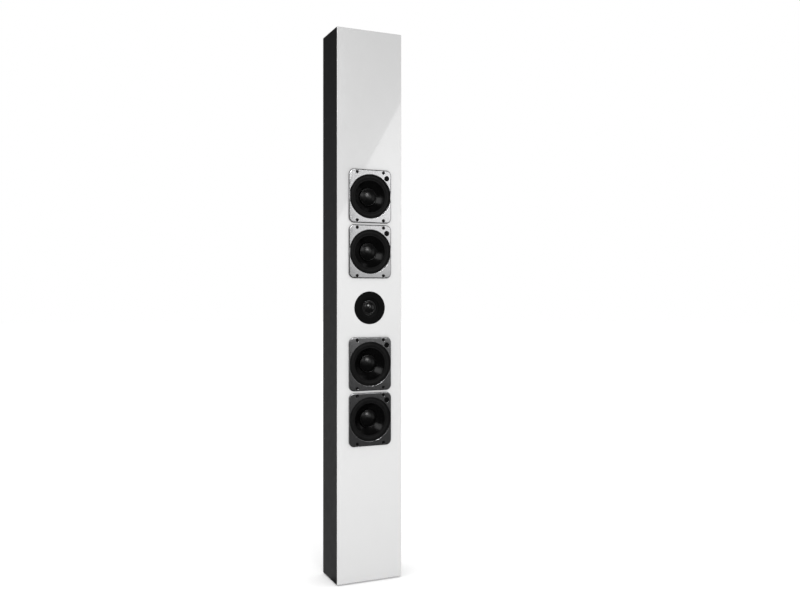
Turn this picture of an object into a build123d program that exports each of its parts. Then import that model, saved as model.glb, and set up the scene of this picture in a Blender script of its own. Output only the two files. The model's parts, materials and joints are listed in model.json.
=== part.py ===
from build123d import *
import math
import os

# A slim floorstanding loudspeaker: four bass-midrange drivers in a row with a soft-dome tweeter in
# the middle of them. All sizes are in millimetres. +Z is up and the front looks along -Y. The origin
# is at the middle of the object's footprint, at the height of the floor.

# Cabinet
CABINET_W = 157.0
CABINET_D = 99.0
CABINET_H = 1250.0
FASCIA_T = 4.0            # lacquered front panel
FASCIA_EDGE = 0.8         # rounding of the front panel's edge
BAFFLE_T = 14.0           # board behind the front panel, which the drivers are screwed to
SIDE_T = 12.0
END_T = 15.0              # top and bottom boards
BACK_T = 12.0
CORNER_R = 1.5            # rounding of the cabinet's long rear edges
FOOT_R = 8.0
FOOT_H = 3.0
FOOT_INSET_X = 16.5
FOOT_INSET_Y = 14.5
CUTOUT_PLAY = 0.25        # gap around the tweeter's faceplate
CUP_PLAY = 0.3            # gap around the terminal cup in the back board
CUT_MARGIN = 1.0          # how far a cutting shape reaches past what it cuts

# Driver places: heights above the cabinet's underside, on its centre line
TWEETER_HEIGHT = 620.0
WOOFER_TO_TWEETER = 127.5
WOOFER_PITCH = 125.5

# Woofer: radii from its axis, depths from the front panel's face, positive towards the listener
FRAME_W = 103.0
FRAME_H = 121.5
FRAME_CORNER = 12.5
FRAME_PROUD = 4.5
FRAME_EDGE = 2.2
OPENING_R = 50.0          # mouth of the frame, where the surround begins
LEDGE_Z = 1.2             # shelf in the frame that the surround is glued to
CHASSIS_R = 48.0
CHASSIS_WALL = 2.5
CUTOUT_R = 48.5
NECK_R = 36.0             # back part of the frame, around the spider
NECK_WALL = 2.0
NECK_Z = -23.5
SHOULDER_Z = -5.0
SPIDER_SHELF_W = 4.0
SEAT_STEP = 3.0           # ring of the seat that covers the motor's plate
SEAT_Z = -31.0            # rear face of the frame, where the motor is fixed
WINDOW_COUNT = 6
WINDOW_W = 26.0
CONE_EDGE_R = 38.4
CONE_NECK_R = 12.95
CONE_NECK_Z = -15.5
CONE_T = 0.8
CONE_GLUE_W = 2.0         # overlap of the surround's inner rim on the cone
CONE_BOW = (0.48, 0.42)   # bow of the cone's curve: shares of its summed radii and of its depth
CAP_SHARE = 0.71          # place of the dust cap's rim along the cone's curve
CAP_RISE = 6.6
CAP_T = 0.6
ROLL_OUT_R = 48.5
ROLL_IN_R = 38.5
ROLL_RISE = 3.0
SURROUND_T = 0.8
FORMER_IN_R = 12.6
FORMER_OUT_R = 12.9
WINDING_R = 13.6
WINDING_LENGTH = 10.0
FORMER_TOP_Z = -14.6
SPIDER_T = 0.5
SPIDER_WAVE = 0.9
SPIDER_WAVES = 4
SPIDER_FLAT = 3.0         # plain ring at each edge of the spider
SPIDER_GAP = 0.7
GLUE_GAP = 0.05
GAP_R = 14.0              # bore of the steel plate around the voice coil
PLATE_R = 32.0
PLATE_T = 5.0
MAGNET_IN_R = 17.0
MAGNET_OUT_R = 36.0
MAGNET_T = 14.0
MAGNET_EDGE = 0.8
YOKE_R = 33.0
YOKE_T = 5.0
POLE_R = 12.2
VENT_R = 4.0
POLE_OVER = 0.5           # how far the pole stands past the steel plate

# Screws and the blank badge on each woofer frame
SCREW_X = 32.0
SCREW_Y = 54.5
SCREW_HEAD_R = 3.4
SCREW_HEAD_T = 2.0
SCREW_SHANK_R = 1.6
SCREW_LENGTH = 17.0
SCREW_PLAY = 0.2
HEX_R = 1.5
HEX_DEPTH = 1.1
BADGE_R = 6.1
BADGE_T = 0.6
BADGE_X = 40.0
BADGE_Y = 42.0
BADGE_PLAY = 0.1

# Tweeter
TWEETER_PLATE_R = 37.0
TWEETER_PROUD = 0.4
TWEETER_HOLE_R = 25.0
DISH_R = 23.0
THROAT_R = 16.4
THROAT_Z = -1.8
DOME_R = 12.4
DOME_BASE_Z = -3.0
DOME_RISE = 3.8
DOME_T = 0.4
TWEETER_RIM_R = 16.2
TWEETER_RIM_T = 0.6
TWEETER_SCREW_PCD = 61.0
TWEETER_HEAD_R = 2.2
TWEETER_HEAD_T = 1.5
TWEETER_SEAT_DEPTH = 1.6
TWEETER_SCREW_LENGTH = 14.0
TWEETER_COIL_LENGTH = 4.6
TWEETER_FORMER_T = 0.2
TWEETER_WINDING_T = 0.6
TWEETER_GAP = 0.35        # between the pole and the coil former
TWEETER_STEEL_R = 22.0
TWEETER_PLATE_STEEL_T = 4.0
TWEETER_YOKE_T = 4.0
TWEETER_MAGNET_T = 9.0
TWEETER_MAGNET_IN_R = 14.5
TWEETER_MAGNET_OUT_R = 23.5
TWEETER_MAGNET_EDGE = 0.5
TWEETER_POLE_R = 11.5
TWEETER_POLE_DROP = 0.2
TWEETER_ROLL_RISE = 1.3

# Terminal cup on the back
CUP_Z = 140.0
CUP_FLANGE_W = 86.0
CUP_FLANGE_H = 66.0
CUP_FLANGE_T = 2.5
CUP_W = 62.0
CUP_H = 44.0
CUP_DEPTH = 32.0
CUP_WALL = 2.5
CUP_CORNER = 5.0
CUP_SCREW_X = 37.0
CUP_SCREW_Z = 27.0
CUP_SEAT_DEPTH = 1.6
CUP_SCREW_HEAD_T = 1.5
CUP_SCREW_LENGTH = 12.0
CUP_SCREW_DROP = 0.1      # how far the screw heads stand below the flange
FLANGE_EDGE = 1.0
POST_SPACING = 19.0
STUD_R = 3.5
STUD_LENGTH = 25.0        # from the cup's floor to the outer end
STUD_TAIL = 12.5          # from the cup's floor into the cabinet
STUD_PLAY = 0.1
STUD_CHAMFER = 0.4
NUT_R = 6.2
NUT_T = 3.2
TAG_LENGTH = 12.0
TAG_W = 11.0
TAG_T = 0.8
TAG_GAP = 0.2
COLLAR_R = 7.2
COLLAR_T = 3.0
SOCKET_R = 2.05           # takes a 4 mm plug
SOCKET_DEPTH = 14.0
WIRE_HOLE_R = 1.5
WASHER_R = 6.8
WASHER_T = 1.2
WASHER_GAP = 0.2
CAP_GRIP_R = 7.0
CAP_LENGTH = 21.3
CAP_BORE_R = 3.6
CAP_MOUTH_R = 2.6
CAP_LIP_T = 0.8
CAP_GAP = 0.3
GRIP_FLUTES = 14
FLUTE_R = 0.8
FLUTE_START = 2.5
GRIP_EDGE = 1.2

# Crossover
BOARD_W = 100.0
BOARD_H = 110.0
BOARD_T = 1.6
BOARD_LOW_Z = 190.0
STANDOFF_T = 6.0
STANDOFF_R = 3.0
STANDOFF_INSET = 5.0
BOARD_SCREW_LENGTH = 13.0
BOARD_SCREW_HEAD_T = 1.6
# Inductors: inner and outer radius, height, then X and the height of their middle
INDUCTORS = ((8, 19, 18, -26, 216), (8, 19, 18, 22, 216), (6, 14, 14, -34, 254))
# Capacitors lying on the board: radius, length, then X and the height of their middle
CAPACITORS = ((9, 34, 6, 246), (9, 34, 6, 266), (7, 24, -32, 282))
CAPACITOR_EDGE = 1.5
# Resistors: X, the height of their middle and their turn on the board
RESISTORS = ((4, 283, 0), (42, 262, 90))
RESISTOR_SIZE = (26, 7, 7)
RESISTOR_EDGE = 0.8

# Stiffening boards, wadding and wires
BRACE_T = 12.0
BRACE_HEIGHTS = (430.0, 810.0, 1075.0)
BRACE_RIM = 4.5
BRACE_WEB = 12.0
PAD_T = 14.0
PAD_INSET_LEFT = 8.0
PAD_INSET_RIGHT = 26.0      # leaves room for the wires
PAD_RANGES = ((470, 780), (850, 1050), (1105, 1225))
WIRE_R = 1.3
WIRE_FIRST_X = 45.0
WIRE_PITCH = 3.5
WIRE_START_X = 21.0
WIRE_START_PITCH = 4.0
WIRE_BEHIND = 22.0        # from the board forward to the risers
WIRE_BEND = 0.45          # share of a run that a bend may take

# Worked out from the sizes above
BASE_Z = FOOT_H
TOP_Z = BASE_Z + CABINET_H
FRONT_Y = FRAME_PROUD - (FRAME_PROUD + CABINET_D + CUP_FLANGE_T) / 2
BACK_Y = FRONT_Y + CABINET_D
BAFFLE_Y = FRONT_Y + FASCIA_T
INSIDE_FRONT_Y = BAFFLE_Y + BAFFLE_T
INSIDE_BACK_Y = BACK_Y - BACK_T
INSIDE_X = CABINET_W / 2 - SIDE_T
TWEETER_Z = BASE_Z + TWEETER_HEIGHT
WOOFER_ZS = (
    TWEETER_Z + WOOFER_TO_TWEETER + WOOFER_PITCH,
    TWEETER_Z + WOOFER_TO_TWEETER,
    TWEETER_Z - WOOFER_TO_TWEETER,
    TWEETER_Z - WOOFER_TO_TWEETER - WOOFER_PITCH,
)
WOOFER_SCREWS = [(x, y) for x in (-SCREW_X, SCREW_X) for y in (-SCREW_Y, SCREW_Y)]
TWEETER_SCREW_REACH = TWEETER_SCREW_PCD / 2 * math.cos(math.radians(45))
TWEETER_SCREWS = [
    (x * TWEETER_SCREW_REACH, y * TWEETER_SCREW_REACH) for x in (-1, 1) for y in (-1, 1)
]
CUP_FLOOR_Y = BACK_Y - CUP_DEPTH + CUP_WALL
POST_XS = {"red": -POST_SPACING / 2, "black": POST_SPACING / 2}


def save(name, shape):
    """Write one sub-part; a list of separate solids becomes one group."""
    shape = Compound(children=list(shape)) if isinstance(shape, list) else shape
    export_step(shape, f"parts/{name}.step")


def block(x_range, y_range, z_range):
    """A box given by its low and high corners."""
    sizes = [high - low for low, high in (x_range, y_range, z_range)]
    corner = (x_range[0], y_range[0], z_range[0])
    return Pos(*corner) * Box(*sizes, align=(Align.MIN, Align.MIN, Align.MIN))


def tube(inner, outer, low, high):
    """A ring about the local Z axis, or a disc when inner is 0."""
    section = Circle(outer) - Circle(inner) if inner > 0 else Circle(outer)
    return Pos(0, 0, low) * extrude(section, high - low)


def turned(*lines):
    """A solid of revolution about Z from lines drawn in the XZ half plane."""
    return revolve(make_face(Curve() + list(lines)), Axis.Z, 360)


def turned_polygon(*points):
    return turned(Polyline(*[(radius, 0, height) for radius, height in points], close=True))


def radial_arc(start, middle, end):
    return ThreePointArc(*[(radius, 0, height) for radius, height in (start, middle, end)])


def on_front(shape, height):
    """Turn a shape drawn with local +Z towards the listener, and set it on the front face."""
    return Pos(0, FRONT_Y, height) * Rot(90, 0, 0) * shape


def on_back(shape, x, y, z):
    """Turn a shape drawn with local +Z away from the back, and set it at a point."""
    return Pos(x, y, z) * Rot(-90, 0, 0) * shape


def spots(shape, places):
    """Copies of a local shape at a list of X, Y places."""
    return [Pos(x, y, 0) * shape for x, y in places]


# Cabinet boards

def cut_driver_holes(board, woofer_r, woofer_screw_r, tweeter_r, tweeter_screw_r):
    """Openings and screw holes for all the drivers, through a board behind the front face."""
    low, high = -(FASCIA_T + BAFFLE_T + CUT_MARGIN), CUT_MARGIN
    for height in WOOFER_ZS:
        board -= on_front(tube(0, woofer_r, low, high), height)
        for hole in spots(tube(0, woofer_screw_r, low, high), WOOFER_SCREWS):
            board -= on_front(hole, height)
    board -= on_front(tube(0, tweeter_r, low, high), TWEETER_Z)
    for hole in spots(tube(0, tweeter_screw_r, low, high), TWEETER_SCREWS):
        board -= on_front(hole, TWEETER_Z)
    return board


def front_fascia():
    half = CABINET_W / 2
    panel = block((-half, half), (FRONT_Y, BAFFLE_Y), (BASE_Z, TOP_Z))
    panel = fillet(panel.faces().sort_by(Axis.Y)[0].edges(), FASCIA_EDGE)
    hole_r = SCREW_SHANK_R + SCREW_PLAY
    return cut_driver_holes(panel, CUTOUT_R, hole_r, TWEETER_PLATE_R + CUTOUT_PLAY, hole_r)


def inner_baffle():
    board = block((-INSIDE_X, INSIDE_X), (BAFFLE_Y, INSIDE_FRONT_Y), (BASE_Z + END_T, TOP_Z - END_T))
    hole_r = SCREW_SHANK_R + SCREW_PLAY / 2
    return cut_driver_holes(board, CUTOUT_R, hole_r, TWEETER_HOLE_R, hole_r)


def side_panel(side):
    outer, inner = side * CABINET_W / 2, side * INSIDE_X
    panel = block(sorted((outer, inner)), (BAFFLE_Y, BACK_Y), (BASE_Z, TOP_Z))
    outer_face = panel.faces().sort_by(Axis.X)[-1 if side > 0 else 0]
    rear_edge = outer_face.edges().filter_by(Axis.Z).sort_by(Axis.Y)[-1]
    return fillet(rear_edge, CORNER_R)


def end_panel(low_z):
    return block((-INSIDE_X, INSIDE_X), (BAFFLE_Y, BACK_Y), (low_z, low_z + END_T))


def back_panel():
    board = block((-INSIDE_X, INSIDE_X), (INSIDE_BACK_Y, BACK_Y), (BASE_Z + END_T, TOP_Z - END_T))
    half_w, half_h = CUP_W / 2 + CUP_PLAY, CUP_H / 2 + CUP_PLAY
    y_range = (INSIDE_BACK_Y - CUT_MARGIN, BACK_Y + CUT_MARGIN)
    board -= block((-half_w, half_w), y_range, (CUP_Z - half_h, CUP_Z + half_h))
    hole_r = SCREW_SHANK_R + SCREW_PLAY / 2
    for x, z in cup_screw_places():
        board -= on_back(tube(0, hole_r, -BACK_T - CUT_MARGIN, CUT_MARGIN), x, BACK_Y, z)
    for x, z in standoff_places():
        board -= on_back(tube(0, hole_r, -BACK_T / 2, CUT_MARGIN), x, INSIDE_BACK_Y + BACK_T / 2, z)
    return board


def window_brace(height):
    """A shelf with two windows, which ties the side boards together."""
    low = BASE_Z + height - BRACE_T / 2
    shelf = block((-INSIDE_X, INSIDE_X), (INSIDE_FRONT_Y, INSIDE_BACK_Y), (low, low + BRACE_T))
    y_range = (INSIDE_FRONT_Y + 2 * BRACE_RIM, INSIDE_BACK_Y - 2 * BRACE_RIM)
    for side in (-1, 1):
        x_range = sorted((side * BRACE_WEB / 2, side * (INSIDE_X - BRACE_RIM)))
        window = block(x_range, y_range, (low - CUT_MARGIN, low + BRACE_T + CUT_MARGIN))
        shelf -= fillet(window.edges().filter_by(Axis.Z), BRACE_RIM)
    return shelf


def damping_pad(low_z, high_z):
    y_range = (INSIDE_BACK_Y - PAD_T, INSIDE_BACK_Y)
    pad = block((-INSIDE_X + PAD_INSET_LEFT, INSIDE_X - PAD_INSET_RIGHT), y_range, (low_z, high_z))
    return fillet(pad.faces().sort_by(Axis.Y)[0].edges(), PAD_T / 3)


def rubber_feet():
    foot = fillet(tube(0, FOOT_R, 0, FOOT_H).edges().sort_by(Axis.Z)[0], FOOT_H / 5)
    far_x = CABINET_W / 2 - FOOT_INSET_X
    middle_y, far_y = (FRONT_Y + BACK_Y) / 2, CABINET_D / 2 - FOOT_INSET_Y
    return [Pos(x, middle_y + y, 0) * foot for x in (-far_x, far_x) for y in (-far_y, far_y)]


# Woofer

def woofer_flange():
    """Rounded-rectangle front plate with its mouth, screw seats and badge recess."""
    plate = extrude(RectangleRounded(FRAME_W, FRAME_H, FRAME_CORNER), FRAME_PROUD)
    plate = fillet(plate.faces().sort_by(Axis.Z)[-1].edges(), FRAME_EDGE)
    above = FRAME_PROUD + CUT_MARGIN
    plate -= tube(0, OPENING_R, LEDGE_Z, above)
    plate -= tube(0, CHASSIS_R - CHASSIS_WALL, -CUT_MARGIN, above)
    seat_low = FRAME_PROUD - SCREW_HEAD_T - SCREW_PLAY / 2
    seat = tube(0, SCREW_HEAD_R + SCREW_PLAY, seat_low, above)
    seat += tube(0, SCREW_SHANK_R + SCREW_PLAY, -CUT_MARGIN, FRAME_PROUD)
    for cut in spots(seat, WOOFER_SCREWS):
        plate -= cut
    return plate - Pos(BADGE_X, BADGE_Y, 0) * tube(0, BADGE_R, FRAME_PROUD - BADGE_T, above)


def woofer_chassis():
    """Cast skirt behind the front plate: a cone of spokes down to the motor's seat."""
    wall_in, neck_in = CHASSIS_R - CHASSIS_WALL, NECK_R - NECK_WALL
    shelf_r, seat_in = neck_in - SPIDER_SHELF_W, MAGNET_IN_R + SEAT_STEP
    skirt = turned_polygon(
        (wall_in, LEDGE_Z), (CHASSIS_R, LEDGE_Z), (CHASSIS_R, SHOULDER_Z), (NECK_R, NECK_Z),
        (NECK_R, SEAT_Z), (seat_in, SEAT_Z), (seat_in, SEAT_Z + NECK_WALL), (neck_in, SEAT_Z + NECK_WALL),
        (neck_in, NECK_Z - NECK_WALL), (shelf_r, NECK_Z - NECK_WALL), (shelf_r, NECK_Z),
        (neck_in - NECK_WALL / 4, NECK_Z), (wall_in, SHOULDER_Z),
    )
    window_low, window_high = NECK_Z + NECK_WALL, SHOULDER_Z - NECK_WALL / 2
    window = Pos(0, 0, window_low) * Box(
        2 * CHASSIS_R, WINDOW_W, window_high - window_low, align=(Align.MIN, Align.CENTER, Align.MIN)
    )
    for step in range(WINDOW_COUNT):
        skirt -= Rot(0, 0, 360 / WINDOW_COUNT * step) * window
    return skirt


def woofer_frame():
    return woofer_flange() + woofer_chassis()


def cone_curve():
    """Front line of the cone, from its outer edge down to the neck."""
    edge_r = ROLL_IN_R - CONE_GLUE_W
    middle = (CONE_BOW[0] * (edge_r + CONE_NECK_R), CONE_BOW[1] * CONE_NECK_Z)
    return radial_arc((edge_r, LEDGE_Z), middle, (CONE_NECK_R, CONE_NECK_Z))


def woofer_cone():
    front = cone_curve()
    back = Pos(0, 0, -CONE_T) * front
    rim_top, rim_low = (CONE_EDGE_R, 0, LEDGE_Z), (CONE_EDGE_R, 0, LEDGE_Z - CONE_T)
    return turned(front, Line(front @ 1, back @ 1), back, Polyline(back @ 0, rim_low, rim_top, front @ 0))


def dome(rim_r, base_z, rise, thickness):
    """A thin spherical cap with its rim at a height, bulging towards the listener."""
    ball_r = (rim_r ** 2 + rise ** 2) / (2 * rise)
    shell = Sphere(ball_r) - Sphere(ball_r - thickness)
    around = tube(0, rim_r + CUT_MARGIN, base_z, base_z + rise + CUT_MARGIN)
    return Pos(0, 0, base_z + rise - ball_r) * shell & around


def dust_cap():
    rim = cone_curve() @ CAP_SHARE
    return dome(rim.X, rim.Z + CAP_T / 4, CAP_RISE, CAP_T)


def surround():
    """Half-roll rubber ring: a flat rim on the frame, the roll, and a flat rim on the cone."""
    middle_r = (ROLL_OUT_R + ROLL_IN_R) / 2
    low, high = LEDGE_Z, LEDGE_Z + SURROUND_T
    rim_out, rim_in = OPENING_R - SCREW_PLAY, ROLL_IN_R - CONE_GLUE_W
    over = radial_arc((ROLL_OUT_R, high), (middle_r, low + ROLL_RISE), (ROLL_IN_R, high))
    under_out, under_in = ROLL_OUT_R - SURROUND_T, ROLL_IN_R + SURROUND_T
    under = radial_arc((under_in, low), (middle_r, low + ROLL_RISE - SURROUND_T), (under_out, low))
    inner_rim = Polyline(over @ 1, (rim_in, 0, high), (rim_in, 0, low), under @ 0)
    outer_rim = Polyline(under @ 1, (rim_out, 0, low), (rim_out, 0, high), over @ 0)
    return turned(over, inner_rim, under, outer_rim)


def voice_coil():
    gap_middle = SEAT_Z - PLATE_T / 2
    low, high = gap_middle - WINDING_LENGTH / 2, gap_middle + WINDING_LENGTH / 2
    return turned_polygon(
        (FORMER_IN_R, FORMER_TOP_Z), (FORMER_OUT_R, FORMER_TOP_Z), (FORMER_OUT_R, high),
        (WINDING_R, high), (WINDING_R, low), (FORMER_IN_R, low),
    )


def spider():
    """Corrugated cloth ring between the voice coil and the frame's inner shelf."""
    inner_r, outer_r = FORMER_OUT_R + GLUE_GAP, NECK_R - NECK_WALL - SPIDER_GAP
    wave_in, wave_out = inner_r + SPIDER_FLAT, outer_r - SPIDER_FLAT
    steps = 2 * SPIDER_WAVES
    crests = [
        (wave_in + (wave_out - wave_in) * step / steps, SPIDER_WAVE * (step % 2))
        for step in range(steps + 1)
    ]
    line = [(inner_r, 0)] + crests + [(outer_r, 0)]
    top = [(radius, NECK_Z + SPIDER_T + rise) for radius, rise in line]
    bottom = [(radius, NECK_Z + rise) for radius, rise in reversed(line)]
    return turned_polygon(*top, *bottom)


def woofer_plate():
    return tube(GAP_R, PLATE_R, SEAT_Z - PLATE_T, SEAT_Z)


def woofer_magnet():
    top = SEAT_Z - PLATE_T
    return fillet(tube(MAGNET_IN_R, MAGNET_OUT_R, top - MAGNET_T, top).edges(), MAGNET_EDGE)


def woofer_yoke():
    """Bottom steel plate with the vented pole that reaches up through the voice coil."""
    top = SEAT_Z - PLATE_T - MAGNET_T
    yoke = tube(0, YOKE_R, top - YOKE_T, top) + tube(0, POLE_R, top - YOKE_T / 2, SEAT_Z + POLE_OVER)
    return yoke - tube(0, VENT_R, top - YOKE_T - CUT_MARGIN, SEAT_Z + CUT_MARGIN)


def screw(head_r, head_t, shank_r, length):
    """Socket-head wood screw with the top of its head at local Z 0."""
    body = fillet(tube(0, head_r, -head_t, 0).edges().sort_by(Axis.Z)[-1], head_t / 4)
    body += tube(0, shank_r, -length, -head_t / 2)
    socket = extrude(RegularPolygon(HEX_R, 6), HEX_DEPTH)
    return body - Pos(0, 0, -HEX_DEPTH) * socket


def woofer_screws():
    one = Pos(0, 0, FRAME_PROUD) * screw(SCREW_HEAD_R, SCREW_HEAD_T, SCREW_SHANK_R, SCREW_LENGTH)
    return [on_front(copy, height) for height in WOOFER_ZS for copy in spots(one, WOOFER_SCREWS)]


def frame_badges():
    badge = Pos(BADGE_X, BADGE_Y, 0) * tube(0, BADGE_R - BADGE_PLAY, FRAME_PROUD - BADGE_T, FRAME_PROUD)
    return [on_front(badge, height) for height in WOOFER_ZS]


# Tweeter

def tweeter_faceplate():
    plate = turned_polygon(
        (TWEETER_PLATE_R, -FASCIA_T), (TWEETER_PLATE_R, TWEETER_PROUD), (DISH_R, TWEETER_PROUD),
        (THROAT_R, THROAT_Z), (THROAT_R, -FASCIA_T),
    )
    front_rim = plate.edges().filter_by(GeomType.CIRCLE).group_by(Axis.Z)[-1].sort_by(SortBy.RADIUS)[-1]
    plate = fillet(front_rim, TWEETER_PROUD)
    seat_low = TWEETER_PROUD - TWEETER_SEAT_DEPTH
    seat = tube(0, TWEETER_HEAD_R + SCREW_PLAY, seat_low, TWEETER_PROUD + CUT_MARGIN)
    seat += tube(0, SCREW_SHANK_R + SCREW_PLAY, -FASCIA_T - CUT_MARGIN, 0)
    for cut in spots(seat, TWEETER_SCREWS):
        plate -= cut
    return plate


def tweeter_dome():
    return dome(DOME_R, DOME_BASE_Z, DOME_RISE, DOME_T)


def tweeter_surround():
    """Narrow cloth roll around the dome, with the rim that is clamped under the faceplate."""
    low, high = -FASCIA_T, -FASCIA_T + TWEETER_RIM_T
    roll_out, roll_in = TWEETER_RIM_R - 2 * TWEETER_RIM_T, DOME_R + 2 * GLUE_GAP
    middle_r, crest = (roll_out + roll_in) / 2, high + TWEETER_ROLL_RISE
    over = radial_arc((roll_out, high), (middle_r, crest), (roll_in, DOME_BASE_Z + DOME_T))
    under_r = roll_out - DOME_T
    under = radial_arc((roll_in, DOME_BASE_Z), (middle_r, crest - DOME_T), (under_r, low + DOME_T / 2))
    rim_low, rim_high = (TWEETER_RIM_R, 0, low), (TWEETER_RIM_R, 0, high)
    foot = Polyline(under @ 1, (under_r, 0, low), rim_low, rim_high, over @ 0)
    return turned(over, Line(over @ 1, under @ 0), under, foot)


def tweeter_coil():
    former_in = TWEETER_POLE_R + TWEETER_GAP
    former_out = former_in + TWEETER_FORMER_T
    winding_out = former_out + TWEETER_WINDING_T
    top = DOME_BASE_Z - GLUE_GAP
    low = top - TWEETER_COIL_LENGTH
    winding_top = -FASCIA_T - TWEETER_RIM_T
    return turned_polygon(
        (former_in, top), (former_out, top), (former_out, winding_top), (winding_out, winding_top),
        (winding_out, low), (former_in, low),
    )


def tweeter_magnet():
    top = -FASCIA_T - TWEETER_PLATE_STEEL_T
    ring = tube(TWEETER_MAGNET_IN_R, TWEETER_MAGNET_OUT_R, top - TWEETER_MAGNET_T, top)
    return fillet(ring.edges(), TWEETER_MAGNET_EDGE)


def tweeter_steel():
    """Front plate and the yoke with its pole."""
    plate_top = -FASCIA_T
    magnet_low = plate_top - TWEETER_PLATE_STEEL_T - TWEETER_MAGNET_T
    gap_r = TWEETER_POLE_R + 2 * TWEETER_GAP + TWEETER_FORMER_T + TWEETER_WINDING_T
    plate = tube(gap_r, TWEETER_STEEL_R, plate_top - TWEETER_PLATE_STEEL_T, plate_top)
    yoke = tube(0, TWEETER_STEEL_R, magnet_low - TWEETER_YOKE_T, magnet_low)
    yoke += tube(0, TWEETER_POLE_R, magnet_low - TWEETER_YOKE_T / 2, plate_top - TWEETER_POLE_DROP)
    return [plate, yoke]


def tweeter_screws():
    one = screw(TWEETER_HEAD_R, TWEETER_HEAD_T, SCREW_SHANK_R, TWEETER_SCREW_LENGTH)
    one = Pos(0, 0, TWEETER_PROUD) * one
    return [on_front(copy, TWEETER_Z) for copy in spots(one, TWEETER_SCREWS)]


# Terminals on the back

def cup_screw_places():
    return [(x, CUP_Z + z) for x in (-CUP_SCREW_X, CUP_SCREW_X) for z in (-CUP_SCREW_Z, CUP_SCREW_Z)]


def terminal_cup():
    z_range = (CUP_Z - CUP_H / 2, CUP_Z + CUP_H / 2)
    outer = block((-CUP_W / 2, CUP_W / 2), (BACK_Y - CUP_DEPTH, BACK_Y), z_range)
    outer = fillet(outer.edges().filter_by(Axis.Y), CUP_CORNER)
    flange = block(
        (-CUP_FLANGE_W / 2, CUP_FLANGE_W / 2), (BACK_Y, BACK_Y + CUP_FLANGE_T),
        (CUP_Z - CUP_FLANGE_H / 2, CUP_Z + CUP_FLANGE_H / 2),
    )
    flange = fillet(flange.edges().filter_by(Axis.Y), CUP_CORNER)
    flange = fillet(flange.faces().sort_by(Axis.Y)[-1].edges(), FLANGE_EDGE)
    half_w, half_h = CUP_W / 2 - CUP_WALL, CUP_H / 2 - CUP_WALL
    y_range = (CUP_FLOOR_Y, BACK_Y + CUP_FLANGE_T + CUT_MARGIN)
    hollow = block((-half_w, half_w), y_range, (CUP_Z - half_h, CUP_Z + half_h))
    cup = outer + flange - fillet(hollow.edges().filter_by(Axis.Y), CUP_CORNER - CUP_WALL)
    for x in POST_XS.values():
        cup -= on_back(tube(0, STUD_R + STUD_PLAY, -CUP_DEPTH, CUT_MARGIN), x, CUP_FLOOR_Y, CUP_Z)
    seat_low = CUP_FLANGE_T - CUP_SEAT_DEPTH
    head_seat = tube(0, SCREW_HEAD_R + SCREW_PLAY, seat_low, CUP_FLANGE_T + CUT_MARGIN)
    head_seat += tube(0, SCREW_SHANK_R + SCREW_PLAY, -CUT_MARGIN, CUP_FLANGE_T)
    for x, z in cup_screw_places():
        cup -= on_back(head_seat, x, BACK_Y, z)
    return cup


def cup_screws():
    one = screw(SCREW_HEAD_R, CUP_SCREW_HEAD_T, SCREW_SHANK_R, CUP_SCREW_LENGTH)
    one = Pos(0, 0, CUP_FLANGE_T - CUP_SCREW_DROP) * one
    return [on_back(one, x, BACK_Y, z) for x, z in cup_screw_places()]


def post_stud():
    """Threaded stud with its collar, a cross hole for bare wire and a socket in its end."""
    stud = tube(0, STUD_R, -STUD_TAIL, STUD_LENGTH) + tube(0, COLLAR_R, 0, COLLAR_T)
    stud = chamfer(stud.edges().sort_by(Axis.Z)[-1], STUD_CHAMFER)
    stud -= tube(0, SOCKET_R, STUD_LENGTH - SOCKET_DEPTH, STUD_LENGTH + CUT_MARGIN)
    cross = Rot(90, 0, 0) * tube(0, WIRE_HOLE_R, -2 * STUD_R, 2 * STUD_R)
    return stud - Pos(0, 0, COLLAR_T + WIRE_HOLE_R + WASHER_GAP) * cross


def post_nut():
    """Lock nut and solder tag behind the cup's floor."""
    top = -CUP_WALL
    hole = Circle(STUD_R + STUD_PLAY)
    nut = Pos(0, 0, top - NUT_T) * extrude(RegularPolygon(NUT_R, 6) - hole, NUT_T)
    tag = extrude(SlotCenterToCenter(TAG_LENGTH, TAG_W) - hole, TAG_T)
    tag = Pos(0, 0, top - NUT_T - TAG_GAP - TAG_T) * tag
    return [nut, tag]


def post_washer():
    low = COLLAR_T + WASHER_GAP
    return tube(CAP_BORE_R, WASHER_R, low, low + WASHER_T)


def post_cap():
    """Fluted thumb nut of a binding post."""
    low = COLLAR_T + WASHER_GAP + WASHER_T + CAP_GAP
    high = low + CAP_LENGTH
    cap = tube(0, CAP_GRIP_R, low, high)
    cap = fillet(cap.edges().sort_by(Axis.Z)[-1], GRIP_EDGE)
    for step in range(GRIP_FLUTES):
        flute = Pos(CAP_GRIP_R + FLUTE_R / 3, 0, 0) * tube(0, FLUTE_R, low + FLUTE_START, high + CUT_MARGIN)
        cap -= Rot(0, 0, 360 / GRIP_FLUTES * step) * flute
    cap -= tube(0, CAP_BORE_R, low - CUT_MARGIN, high - CAP_LIP_T)
    return cap - tube(0, CAP_MOUTH_R, low, high + CUT_MARGIN)


# Crossover

def standoff_places():
    far_x = BOARD_W / 2 - STANDOFF_INSET
    heights = (BOARD_LOW_Z + STANDOFF_INSET, BOARD_LOW_Z + BOARD_H - STANDOFF_INSET)
    return [(x, z) for x in (-far_x, far_x) for z in heights]


def crossover_board():
    high_y = INSIDE_BACK_Y - STANDOFF_T
    z_range = (BOARD_LOW_Z, BOARD_LOW_Z + BOARD_H)
    board = block((-BOARD_W / 2, BOARD_W / 2), (high_y - BOARD_T, high_y), z_range)
    for x, z in standoff_places():
        board -= on_back(tube(0, SCREW_SHANK_R + SCREW_PLAY, -2 * BOARD_T, BOARD_T), x, high_y, z)
    return board


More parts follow.
